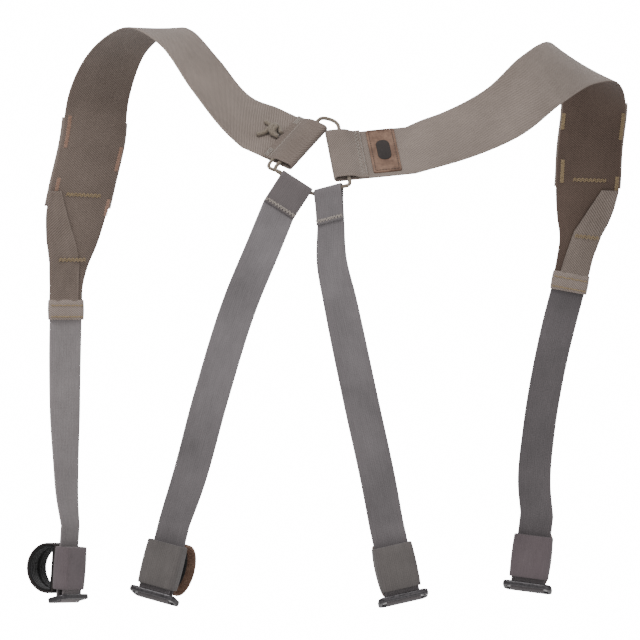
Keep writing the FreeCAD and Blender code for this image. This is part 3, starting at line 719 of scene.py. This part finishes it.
# Radius of the wide webbing's middle round the cord, and of the narrow one's inside round a bar.
FOLD_RADIUS, WRAP_RADIUS = 2.5, 2.0
THREAD_LIFT = 0.15
SLEEVE_LIFT = 2.1
PATCH_AT = 40.0
# Across, along and thickness.
PATCH_SIZE, EMBLEM_SIZE = (44.0, 21.0, 1.3), (20.0, 10.0, 0.5)
# How far along and across the patch's thread runs from its middle.
PATCH_SEAM_ALONG, PATCH_SEAM_ACROSS = 8.7, 20.5
# Loops that bands are swept along: across, through and corner radius.
BAND_LOOP, KEEPER_LOOP, SLIDER_LOOP = (27.2, 4.8, 2.2), (28.4, 11.4, 3.2), (34.8, 13.8, 3.2)
# The D-shaped loop: its radius, its middle out of the strap and up it, and where its flat lies.
LOOP_RADIUS, LOOP_OUT, LOOP_UP, LOOP_FLAT = 19.5, 13.0, 22.5, 7.0
HIDE_WALL, LINING_WALL = 1.8, 1.4
# Where the lining's bands lie across the strap, on the loops that don't have one over the whole width.
LINING_BANDS = {"left_front": [(-11.7, -0.8), (0.8, 11.7)], "left_rear": [(-11.7, 5.5)]}
FLOOR_HEIGHT = -0.75
FLAP_LIFT, FLAP_THICK = 1.5, 1.2
# How much painted shade each strap's inner face, folded flap and sewn tail take, and the rear straps'
# folds.
INNER_SHADE = {"left": 0.5, "right": 0.95}
FLAP_SHADE = {"left": 0.42, "right": 0.05}
TAIL_SHADE = {"left": 0.34, "right": 0.15}
REAR_FOLD_SHADE = {"left": 0.5, "right": 0.1}
BAND_GAP = 0.5
SLIDER_TILT = 18.0

# Stations: middle of the webbing and direction across it, then width share and layers if not 1.
LEFT_SHOULDER = [
    ((-55.5, 28.0, 32.2), (-0.49, -0.73, -0.48)),
    ((-81.2, 45.0, 62.8), (-0.41, -0.77, -0.48)),
    ((-104.0, 70.0, 92.0), (-0.49, -0.84, -0.24)),
    ((-127.0, 108.0, 99.6), (-0.68, -0.73, 0.03)),
    ((-149.3, 136.0, 85.2), (-0.77, -0.63, 0.08)),
    ((-165.1, 157.0, 53.2), (-0.93, -0.36, 0.1)),
    ((-171.0, 165.0, 16.0), (-0.98, -0.16, 0.07)),
    ((-179.5, 168.0, -20.0), (-0.99, -0.12, 0.05), 0.99, 1.0),
    ((-184.5, 169.0, -45.0), (-0.98, -0.18, 0.03), 0.92, 1.0),
    ((-186.5, 169.0, -63.0), (-0.97, -0.24, 0.0), 0.78, 1.2),
    ((-189.5, 168.5, -80.0), (-0.95, -0.3, 0.0), 0.62, 1.6),
    ((-191.2, 168.0, -96.0), (-0.94, -0.34, 0.0), 0.54, 2.0),
    ((-191.5, 168.0, -107.5), (-0.94, -0.34, 0.0), 0.54, 2.2),
]
RIGHT_SHOULDER = [
    ((82.0, 8.0, 9.0), (-0.2, 0.64, 0.74)),
    ((102.4, 14.0, 15.7), (-0.32, 0.61, 0.73)),
    ((140.5, 33.0, 34.0), (-0.5, 0.45, 0.74)),
    ((171.0, 61.0, 60.0), (-0.62, 0.26, 0.74)),
    ((196.0, 98.0, 74.3), (-0.71, 0.27, 0.65)),
    ((211.0, 131.0, 67.5), (-0.88, 0.36, 0.33)),
    ((215.0, 154.0, 43.2), (-0.99, 0.1, 0.05)),
    ((212.0, 163.0, 10.3), (-1, 0.0, 0.02)),
    ((210.5, 166.0, -18.5), (-1, 0.0, 0.04)),
    ((207.5, 167.0, -42.0), (-1, 0.0, 0.08), 0.84, 1.0),
    ((204.0, 167.0, -59.0), (-0.99, 0.0, 0.12), 0.62, 1.4),
    ((200.5, 166.5, -74.0), (-0.98, 0.0, 0.16), 0.56, 2.0),
    ((197.8, 166.0, -87.0), (-0.98, 0.0, 0.18), 0.55, 2.2),
]
LEFT_REAR = [
    ((-36.5, -22.0, -65.0), (0.90, -0.12, -0.42)),
    ((-53.5, -24.0, -106.0), (0.93, -0.05, -0.37)),
    ((-76.0, -22.0, -178.0), (0.96, -0.05, -0.27)),
    ((-93.0, -17.0, -240.0), (0.95, -0.22, -0.24)),
]
RIGHT_REAR = [
    ((12.9, -20.0, -76.0), (0.95, -0.28, 0.15), 0.9, 1.0),
    ((19.0, -21.0, -106.0), (0.98, -0.10, 0.18), 0.96, 1.0),
    ((34.5, -19.0, -180.0), (0.98, 0.0, 0.20)),
    ((47.5, -15.0, -240.0), (0.98, 0.08, 0.20)),
]
LEFT_FRONT = [
    ((-191.8, 168.0, -121.5), (0.94, 0.34, 0.0)),
    ((-192.2, 167.0, -150.0), (0.93, 0.36, 0.0)),
    ((-192.2, 166.0, -190.0), (0.88, 0.47, 0.0)),
    ((-191.4, 164.5, -230.0), (0.72, 0.69, 0.0)),
    ((-190.2, 162.5, -258.0), (0.60, 0.80, 0.0)),
]
RIGHT_FRONT = [
    ((194.8, 166.0, -100.0), (0.98, 0.0, -0.18)),
    ((189.0, 166.0, -122.0), (0.96, -0.14, -0.22)),
    ((180.0, 165.0, -162.0), (0.94, -0.28, -0.20)),
    ((172.6, 164.0, -208.0), (0.94, -0.30, -0.12)),
    ((169.4, 162.5, -248.0), (0.97, -0.22, -0.08)),
]
CORD_LOW_CORNER = Vector((-0.4, -12.6, -28.0))
# Rear folds: the way the strap hangs, how far from the cord's corner the fold starts and its width.
REAR_FOLDS = {
    "left": (Vector((-0.46, -0.14, -0.87)), 6.5, 26.0),
    "right": (Vector((0.0, -0.17, -0.98)), 1.6, 22.0),
}
# Radius of the tunnel round the cord, and how far below it the fold's sewn end lies.
REAR_TUNNEL, REAR_SEAM = 1.85, 27.0
# How far the sewn end of each fold has been pulled towards the left strap.
REAR_LEAN = {"left": 0.0, "right": 3.0}
STRAP_ENDS = {
    "left_front": (Vector((-189.4, 160.0, -334.9)), 4.0, -60.0),
    "left_rear": (Vector((-117.7, -12.0, -323.9)), 14.0, 25.0),
    "right_rear": (Vector((65.7, -12.0, -325.8)), -12.4, -8.0),
    "right_front": (Vector((164.1, 160.0, -326.1)), 7.0, 10.0),
}

# Flaps: height, share of the half width at the fold and at the free edge.
LEFT_FLAP = [(-22, 0.99, 0.62), (-39, 0.97, 0.31), (-60, 0.86, -0.05), (-77, 0.66, -0.31),
             (-96, 0.56, -0.36), (-106, 0.56, -0.37)]
RIGHT_FLAP = [(-20, -1.0, -0.45), (-36, -0.9, -0.1), (-53, -0.68, 0.22), (-70, -0.57, 0.30),
              (-85, -0.55, 0.36)]

# ---------------------------------------------------------------- the pieces


def cord_corners():
    half, level = WIDE / 2, FOLD_RADIUS
    return [
        LEFT_HUB.at(half + 8.0, level, CORD_IN_LEFT),
        CORD_LOW_CORNER,
        RIGHT_HUB.at(-half - 7.0, level, CORD_IN_RIGHT),
        RIGHT_HUB.at(half + 10.0, level, CORD_IN_RIGHT),
        LEFT_HUB.at(-half - 8.0, level, CORD_IN_LEFT),
    ]


def rear_fold(side):
    down, inset, width = REAR_FOLDS[side]
    corners = cord_corners()
    first = 0 if side == "left" else 1
    across = (corners[first + 1] - corners[first]).normalized()
    local = Frame(corners[first] + across * (inset + width / 2), across, down)
    local.origin = local.at(0, 0, -REAR_TUNNEL - NARROW_THICK)
    return local


def wide_fold_line(flat_length):
    """From the sewn tail's end, round the cord, to the end of the flat stretch."""
    sewn, r = WIDE_THICK + 0.02, FOLD_RADIUS
    tail = softened([(sewn, 25.0), (sewn, 19.0), (2 * r, 14.0), (2 * r, r)])
    return tail + arc((r, r), r, 0, -180)[1:] + [(0.0, s) for s in (8.0, 16.0, 24.0, 34.0, flat_length)]


def shoulder(side):
    base, stations = (LEFT_HUB, LEFT_SHOULDER) if side == "left" else (RIGHT_HUB, RIGHT_SHOULDER)
    flat = 44.0 if side == "left" else 60.0
    start = (base.at(0, 0, flat), base.across)
    free = strap_frames([start, *stations], first_along=base.along)
    line = wide_fold_line(flat)
    frames = folded_frames(base, line)[:-1] + free
    past_tail = next(i for i, point in enumerate(line) if point[0] == 0.0)

    # Painted shade on the sewn tail round the cord and on the inner face.
    def inner(row, face):
        if row < past_tail:
            return TAIL_SHADE[side]
        return INNER_SHADE[side] if face < 0 else 0.0

    obj = strap_mesh(f"{side}_shoulder_webbing_fabric", frames, WIDE, WIDE_THICK, "wide", 22, 0.25, inner)
    put(obj, "root", "wide_webbing", f"{side}_shoulder_webbing")
    return free


def wrap_line():
    """Down to the slider's bar, under it and up again as the tail."""
    middle = WRAP_RADIUS + NARROW_THICK / 2
    down = [(middle, s) for s in (54, 46, 38, 30, 22, 14, 7, 0)]
    return down + arc((0, 0), middle, 0, -180)[1:] + [(-middle, s) for s in (7, 14, 22, 30, 40)]


def narrow_strap(name, stations, material, side=None):
    """A strap down to its slider; side is given for a rear strap, which starts as a fold."""
    end = end_frame(name)
    middle = WRAP_RADIUS + NARROW_THICK / 2
    last = (end.at(0, middle, 56.0), end.across)
    rows, fold, first_along = [*stations, last], [], None
    if side:
        local = rear_fold(side)
        share = REAR_FOLDS[side][2] / NARROW
        outer, layer = REAR_TUNNEL + NARROW_THICK, NARROW_THICK / 2
        mid = REAR_TUNNEL + layer
        line = softened([(layer, REAR_SEAM), (layer, 14.5), (mid, outer + 1.0)])[:-1]
        line += arc((0, outer), mid, 0, -180)
        line += softened([(-mid, outer + 1.0), (-layer, 14.5), (-layer, 26.0)])[1:]
        fold = folded_frames(local, line, share)
        lean = REAR_LEAN[side]
        fold = [(Frame(f.at(-lean * max(0.0, far) / REAR_SEAM, 0, 0), f.across, f.along), wide, thick)
                for (f, wide, thick), (_, far) in zip(fold, line)]
        rows.insert(0, (local.at(-lean, -layer, REAR_SEAM), local.across, share, 1.0))
        first_along = local.along
    free = strap_frames(rows, first_along, end.along * -1)
    wrap = folded_frames(end, wrap_line())

    # Painted shade on the rear fold.
    def inner(row, _):
        return REAR_FOLD_SHADE[side] if row < len(fold) else 0.0

    frames = fold + free + wrap
    obj = strap_mesh(f"{name}_webbing_fabric", frames, NARROW, NARROW_THICK, material, 12, 0.15, inner)
    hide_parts(f"{name}_webbing")
    return obj


def front_strap(side, stations):
    """The strap bends where it leaves the end band, so that it never parts from it."""
    top = Vector(stations[0][0])
    down = (Vector(stations[1][0]) - top).normalized()
    rows = [(top - down * 5, stations[0][1]), *stations]
    obj = narrow_strap(f"{side}_front", rows, "pale_front" if side == "left" else "front")
    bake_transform(obj)


def end_band(side, station, height):
    local = Frame(station[0], station[1], (0, 0, -1))
    local.origin = local.at(0, 0, BAND_GAP)
    loop, face = rounded_loop(*BAND_LOOP), 3.25
    band = band_mesh(f"{side}_end_band_fabric", local, loop, -3.0, height, 1.2, "band", 0.3)
    put(band, "root", "wide_webbing", f"{side}_end_band")
    rope = Stitches(f"{side}_band_rope_stitch", "gold", 0.55)
    for sign in (1, -1):
        rope.row(local, (-13, height - 2.4), (13, height - 2.4), face * sign, 1.9, 0.35, sign)
        rope.row(local, (-13, 1.4), (13, 1.4), face * sign, 3.4, 0.25, sign)
    put(rope.build(), "root", "thread")


def hub_cord():
    """The ring through the four folds, and its second strand by the left rear strap."""
    half, level = WIDE / 2, FOLD_RADIUS
    low_left, between_rears, low_right, top_right, top_left = cord_corners()
    points = [LEFT_HUB.at(0, level, CORD_IN_LEFT), LEFT_HUB.at(half, level, CORD_IN_LEFT), low_left]
    points += [low_left.lerp(between_rears, share) for share in (0.2, 0.5, 0.8)] + [between_rears]
    points += [between_rears.lerp(low_right, share) for share in (0.2, 0.5, 0.8)] + [low_right]
    points += [RIGHT_HUB.at(-half, level, CORD_IN_RIGHT), RIGHT_HUB.at(0, level, CORD_IN_RIGHT),
               RIGHT_HUB.at(half, level, CORD_IN_RIGHT), top_right, top_left,
               LEFT_HUB.at(-half, level, CORD_IN_LEFT)]
    ring = tube_along("hub_cord_ring", nurbs_line(points, True), CORD_RADIUS, "cord", 12, True)
    fold = rear_fold("left")
    second = [LEFT_HUB.at(half - 3, level, 15.5), LEFT_HUB.at(half + 2, level, 16.5),
              LEFT_HUB.at(half + 9, level - 1, 15.0), fold.at(-14.5, -3.5, 1.5), fold.at(-10.5, -2.9, 3.4),
              fold.at(-8, -1.0, 3.6)]
    strand = tube_along("hub_cord_strand", nurbs_line(second), CORD_RADIUS * 0.95, "cord", 12)
    put(joined("hub_cord_braid", [ring, strand]), "root", "cord", "hub_cord")


def hub_knot():
    """An overhand knot of the cord's two ends, on the outer face of the left strap."""
    base, r = LEFT_HUB, CORD_RADIUS
    low = WIDE_THICK / 2 + r + 0.05
    # (across, height over the lowest strand, along)
    first = [(-1.0, 1.2, 25.4), (-3.6, 0.5, 28.0), (-6.2, 1.2, 31.4), (-3.2, 3.0, 34.4), (1.8, 3.0, 33.4),
             (3.6, 1.0, 30.4), (0.4, 0, 29.2), (-3.2, 0.4, 33.2), (-4.6, 0.3, 37.2), (-5.7, 0, 42.4)]
    second = [(2.6, 1.2, 25.6), (3.4, 0.4, 28.6), (1.2, 2.6, 31.6), (-3.8, 3.4, 30.8), (-6.4, 1.6, 34.2),
              (-2.4, 0.2, 36.4), (2.2, 0.6, 35.6), (5.6, 0, 37.6), (9.2, 0, 40.4)]
    parts = []
    for i, path in enumerate((first, second)):
        line = nurbs_line([base.at(across, low + height, along) for across, height, along in path])
        parts.append(tube_along(f"knot_end_{i}", line, r * 1.22, "cord", 12))
    put(joined("hub_knot_braid", parts), "root", "cord", "hub_knot")


def hub_stitching():
    for side, base in (("left", LEFT_HUB), ("right", RIGHT_HUB)):
        face = 1.5 * WIDE_THICK + THREAD_LIFT
        rows = Stitches(f"{side}_hub_thread", "grey", 0.34)
        if side == "left":
            rows.row(base, (-23, 19.6), (23, 19.6), face, 1.7, 0.6)
            for across in (-19.5, 19.5):
                for far in (21.4, 22.6, 23.8):
                    rows.row(base, (across - 4.2, far), (across + 4.2, far), face, 0.8, 0.6)
        else:
            rows.row(base, (-22.5, 21.4), (22.5, 21.4), face, 1.6, 1.6)
            rows.row(base, (-22.5, 24.4), (22.5, 24.4), face, 1.3, 0.5)
        put(rows.build(), "root", "thread", f"{side}_hub_stitching")


def rear_stitching(side):
    local, width = rear_fold(side), REAR_FOLDS[side][2]
    rows = Stitches(f"{side}_rear_thread", "grey", 0.4)
    low, high = -width / 2 + 0.4 - REAR_LEAN[side], width / 2 - 0.4 - REAR_LEAN[side]
    for sign in (1, -1):
        face = sign * (NARROW_THICK + THREAD_LIFT)
        rows.row(local, (low, 24.6), (high, 24.6), face, 1.25, 1.5, sign)
        rows.row(local, (low, 24.2), (high, 24.2), face, 1.7, 0.7, sign)
    put(rows.build(), f"{side}_rear_strap", "thread", f"{side}_rear_stitching")


def plate_mesh(name, local, centre, wide, deep, thick, corner, material, rounds=0.35):
    """A thin plate with rounded corners and softened edges, lying on a strap."""
    loop = rounded_loop(wide, deep, corner, 0.0, 6, 8)
    rings = ((0.0, 0.0), (0.0, thick - rounds), (rounds * 0.3, thick - rounds * 0.3),
             (rounds, thick), (1.6, thick + 0.05))
    verts, count = [], len(loop)
    for inset, height in rings:
        for across, along in loop:
            sx, sy = (1 - 2 * inset / wide), (1 - 2 * inset / deep)
            verts.append(local.at(centre[0] + across * sx, centre[1] + height, centre[2] + along * sy))
    faces = ring_faces(len(rings), count) + cap_faces(len(rings), count)
    uvs = [[(loop[i % count][0] * MM, loop[i % count][1] * MM) for i in face] for face in faces]
    return new_object(name, verts, faces, uvs, material, smooth=False)


def leather_patch():
    base, at = RIGHT_HUB, (1.2, WIDE_THICK / 2 + 0.02, PATCH_AT)
    hide = plate_mesh("leather_patch_hide", base, at, *PATCH_SIZE, 1.4, "leather")
    put(hide, "root", "leather", "leather_patch")
    emblem_at = (at[0], at[1] + PATCH_SIZE[2], at[2])
    emblem = plate_mesh("patch_emblem_plate", base, emblem_at, *EMBLEM_SIZE, 4.6, "dark_leather", 0.25)
    put(emblem, "root", "emblem", "patch_emblem")
    edge = Stitches("patch_thread", "dark", 0.3)
    top = at[1] + PATCH_SIZE[2] + 0.05
    left, right = at[0] - PATCH_SEAM_ACROSS, at[0] + PATCH_SEAM_ACROSS
    low, high = PATCH_AT - PATCH_SEAM_ALONG, PATCH_AT + PATCH_SEAM_ALONG
    for along in (low, high):
        edge.straight(base, (left, along), (right, along), top, 2.3)
    for across in (left, right):
        edge.straight(base, (across, low), (across, high), top, 2.3)
    put(edge.build(), "root", "thread")


def sleeve(side, frames, top, bottom):
    """The second layer outside the front run, between two heights."""
    run = [item for item in frames if item[0].origin.y > 150 and bottom < item[0].origin.z < top]
    moved = [(Frame(f.at(0, SLEEVE_LIFT, 0), f.across, f.along), 1.0, 1.0) for f, _, _ in run]
    obj = strap_mesh(f"{side}_accessory_sleeve_fabric", moved, 51.5, WIDE_THICK, "wide", 22, 0.3)
    put(obj, "root", "wide_webbing", f"{side}_accessory_sleeve")


def on_front(frames, height, across, out):
    """A point on the front run at a height, and the way its wearer's side faces."""
    run = [item[0] for item in frames if item[0].origin.y > 120]
    for upper, lower in zip(run, run[1:]):
        if lower.origin.z <= height <= upper.origin.z:
            break
    share = (upper.origin.z - height) / max(0.01, upper.origin.z - lower.origin.z)
    share = max(0.0, min(1.0, share))
    point = upper.at(across, -out, 0).lerp(lower.at(across, -out, 0), share)
    return point, upper.face.lerp(lower.face, share) * -1


def front_zigzag(rows, frames, start, end, out, pitch, swing):
    """A zigzag on the wearer's side, from start to end, both (height, across)."""
    line = zigzag(start, end, pitch, swing, 0.15, 0.8, 1.1)
    points = [on_front(frames, height, across, out) for height, across in line]
    for (a, face), (b, _) in zip(points, points[1:]):
        rows.thread(a, b, face)


def sleeve_bartacks(side, frames, colour, edges, crossings):
    """Seams by height and by shares of the half width.

    edges: (middle height, share, length) along the strap; crossings: (height, share, share, out).
    """
    half, skin = WIDE / 2, WIDE_THICK / 2 + THREAD_LIFT
    rows = Stitches(f"{side}_sleeve_edge_thread", colour, 0.36)
    for height, share, length in edges:
        for step in (-0.9, 0.0, 0.9):
            ends = [(height + way * length / 2, share * half + step) for way in (1, -1)]
            front_zigzag(rows, frames, *ends, skin, 1.0, 0.6)
    put(rows.build(), "root", "thread", f"{side}_sleeve_bartacks")
    rows = Stitches(f"{side}_sleeve_cross_thread", "gold", 0.36)
    for height, first, last, out in crossings:
        for step in (-0.8, 0.5):
            ends = [(height + step, share * half) for share in (first, last)]
            front_zigzag(rows, frames, *ends, out, 1.5, 0.9)
    put(rows.build(), "root", "thread")


def flap_share(edges, height):
    """The shares of the fold and of the free edge at a height."""
    for (h0, fold0, free0), (h1, fold1, free1) in zip(edges, edges[1:]):
        if h1 <= height <= h0:
            t = (h0 - height) / (h0 - h1)
            return fold0 + (fold1 - fold0) * t, free0 + (free1 - free0) * t
    return edges[-1][1:]


def flap(side, frames, edges):
    """The part of the taper that folds over towards the wearer.

    edges: (height, share at the fold, share at the free edge) rows of the full half width.
    """
    columns, steps, half = 12, 34, WIDE / 2
    top, bottom = edges[0][0], edges[-1][0]
    verts, places = [], []
    for i in range(steps + 1):
        down = i / steps
        height = top + (bottom - top) * down
        fold, free = flap_share(edges, height)
        for layer in (0, 1):
            for j in range(columns + 1):
                share = fold + (free - fold) * j / columns
                from_fold = abs(share - fold) * half
                roll = math.sqrt(max(0.0, 1 - max(0.0, 1 - from_fold / 2.2) ** 2))
                lift = 0.6 + roll * (FLAP_LIFT - 0.5 * down) + 0.35 * math.sin(j * 0.9 + i * 0.33)
                point, _ = on_front(frames, height, share * half, lift + layer * FLAP_THICK)
                verts.append(point)
                places.append(((half - abs(free - share) * half) * MM, -height * MM))
    width = columns + 1
    faces = []
    for i in range(steps):
        a, b = i * 2 * width, (i + 1) * 2 * width
        for j in range(columns):
            for layer in (0, 1):
                p, q = a + layer * width + j, b + layer * width + j
                face = (p, p + 1, q + 1, q)
                faces.append(face if layer else face[::-1])
        for j in (0, columns):
            faces.append((a + j, a + width + j, b + width + j, b + j))
    for row in (0, steps * 2 * width):
        for j in range(columns):
            faces.append((row + j, row + j + 1, row + width + j + 1, row + width + j))
    uvs = [[places[v] for v in face] for face in faces]
    obj = new_object(f"{side}_folded_flap", verts, faces, uvs, "wide")
    # Painted shade on the folded flap.
    mark_painted_shade(obj, [FLAP_SHADE[side]] * len(verts))
    put(obj, "root", "wide_webbing")


# ---------------------------------------------------------------- strap ends


def slider(name):
    """Metal frame with rounded edges and a round centre bar, tilted as the strap pulls it."""
    local = end_frame(name)
    turn = math.radians(SLIDER_TILT)
    local = Frame(local.origin, local.across, local.along * math.cos(turn) + local.face * math.sin(turn))
    loop = rounded_loop(*SLIDER_LOOP, 0.0, 7, 8)
    half_wide, half_thick = 1.55, 1.95
    turns = [math.pi * (2 * k + 1) / 12 for k in range(12)]
    profile = [(max(-1.0, min(1.0, math.cos(t) * 1.2)) * half_wide,
                max(-1.0, min(1.0, math.sin(t) * 1.2)) * half_thick) for t in turns]
    verts = [local.at(point[0] + normal[0] * out, point[1] + normal[1] * out, rise)
             for point, normal in zip(loop, loop_normals(loop)) for out, rise in profile]
    faces = ring_faces(len(loop), len(profile), True)
    ring = new_object(f"{name}_slider_ring", verts, faces, None, "metal")
    bar_ends = [local.at(a, 0, 0) for a in (-16.8, -8, 0, 8, 16.8)]
    bar = tube_along(f"{name}_slider_bar", bar_ends, 1.58, "metal", 16)
    for obj in (ring, bar):
        for layer in list(obj.data.uv_layers):
            obj.data.uv_layers.remove(layer)
    put(joined(f"{name}_slider_metal", [ring, bar]), f"{name}_buckle", "slider_metal", f"{name}_slider")


def keeper(name, material):
    local = end_frame(name)
    loop = rounded_loop(*KEEPER_LOOP, 0.5)
    obj = band_mesh(f"{name}_keeper_fabric", local, loop, 7.0, 40.0, 1.5, material, 0.5)
    put(obj, f"{name}_fastener", "keeper_webbing", f"{name}_keeper")


def d_loop(inset):
    """The loop's line of (up, out) points: a circle cut flat on the keeper's side."""
    radius, flat = LOOP_RADIUS - inset, LOOP_FLAT + inset
    cut, steps = math.acos((flat - LOOP_OUT) / radius), 44
    points = [(LOOP_UP + radius * math.sin(a), LOOP_OUT + radius * math.cos(a))
              for a in (-cut + 2 * cut * i / steps for i in range(steps + 1))]
    start, end = points[-1], points[0]
    points += [(start[0] + (end[0] - start[0]) * s / 8, flat) for s in range(1, 8)]
    return points


def loop_band(name, local, inset, span, wall, material):
    """A band round the loop, made in a frame whose along direction is the strap's across."""
    turned = Frame(local.origin, local.along, local.across)
    sign = 1 if turned.face.dot(local.face) > 0 else -1
    loop = [(up, out * sign) for up, out in d_loop(inset + wall / 2)]
    return band_mesh(name, turned, loop, *span, wall, material)


def strap_loop(name):
    """Leather outside, and ribbed lining inside in one or two bands across its width."""
    local = end_frame(name)
    skin = "dark_leather" if name == "left_front" else "leather"
    hide = loop_band(f"{name}_loop_hide", local, 0.0, (-12.0, 12.0), HIDE_WALL, skin)
    put(hide, f"{name}_fastener", "leather", f"{name}_leather_loop")
    bands = LINING_BANDS.get(name, [(-11.7, 11.7)])
    soft = [loop_band(f"{name}_ribbed_{i}", local, HIDE_WALL + 0.1, span, LINING_WALL, "lining")
            for i, span in enumerate(bands)]
    put(joined(f"{name}_loop_ribbed", soft), f"{name}_fastener", "loop_lining", f"{name}_loop_lining")


def add_floor():
    bpy.ops.mesh.primitive_circle_add(vertices=96, radius=4.0, fill_type="NGON",
                                      location=(0, 0, FLOOR_HEIGHT))
    floor = bpy.context.object
    floor.name = "floor"
    floor.data.materials.append(pale_floor("pale_floor"))


def build():
    add_camera()
    add_light()
    add_floor()
    hub_cord()
    hub_knot()
    left, right = shoulder("left"), shoulder("right")
    end_band("left", LEFT_SHOULDER[-1], 12.5)
    end_band("right", RIGHT_SHOULDER[-1], 11.5)
    for side, stations in (("left", LEFT_REAR), ("right", RIGHT_REAR)):
        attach(narrow_strap(f"{side}_rear", stations, "narrow", side), f"{side}_rear_strap")
        rear_stitching(side)
    front_strap("left", LEFT_FRONT)
    front_strap("right", RIGHT_FRONT)
    hub_stitching()
    leather_patch()
    sleeve("left", left, 36, -36)
    sleeve("right", right, 50, -20)
    flap("left", left, LEFT_FLAP)
    flap("right", right, RIGHT_FLAP)
    sleeve_bartacks("left", left, "copper",
                    [(23, 0.82, 24), (5, -0.93, 19), (-21, 0.78, 18), (-33, -0.92, 13)],
                    [(-24, 0.45, -0.65, 1.0), (-74, 0.38, -0.48, 3.6)])
    sleeve_bartacks("right", right, "gold",
                    [(32, 0.93, 12), (-6.5, 0.82, 18), (29, -0.93, 21), (-18, -0.91, 17)],
                    [(-12.6, 0.47, -0.57, 1.0), (-56, 0.16, -0.6, 3.6)])
    for name in STRAP_ENDS:
        slider(name)
        keeper(name, "rib_keeper" if name.endswith("rear") else "keeper")
        strap_loop(name)


build()
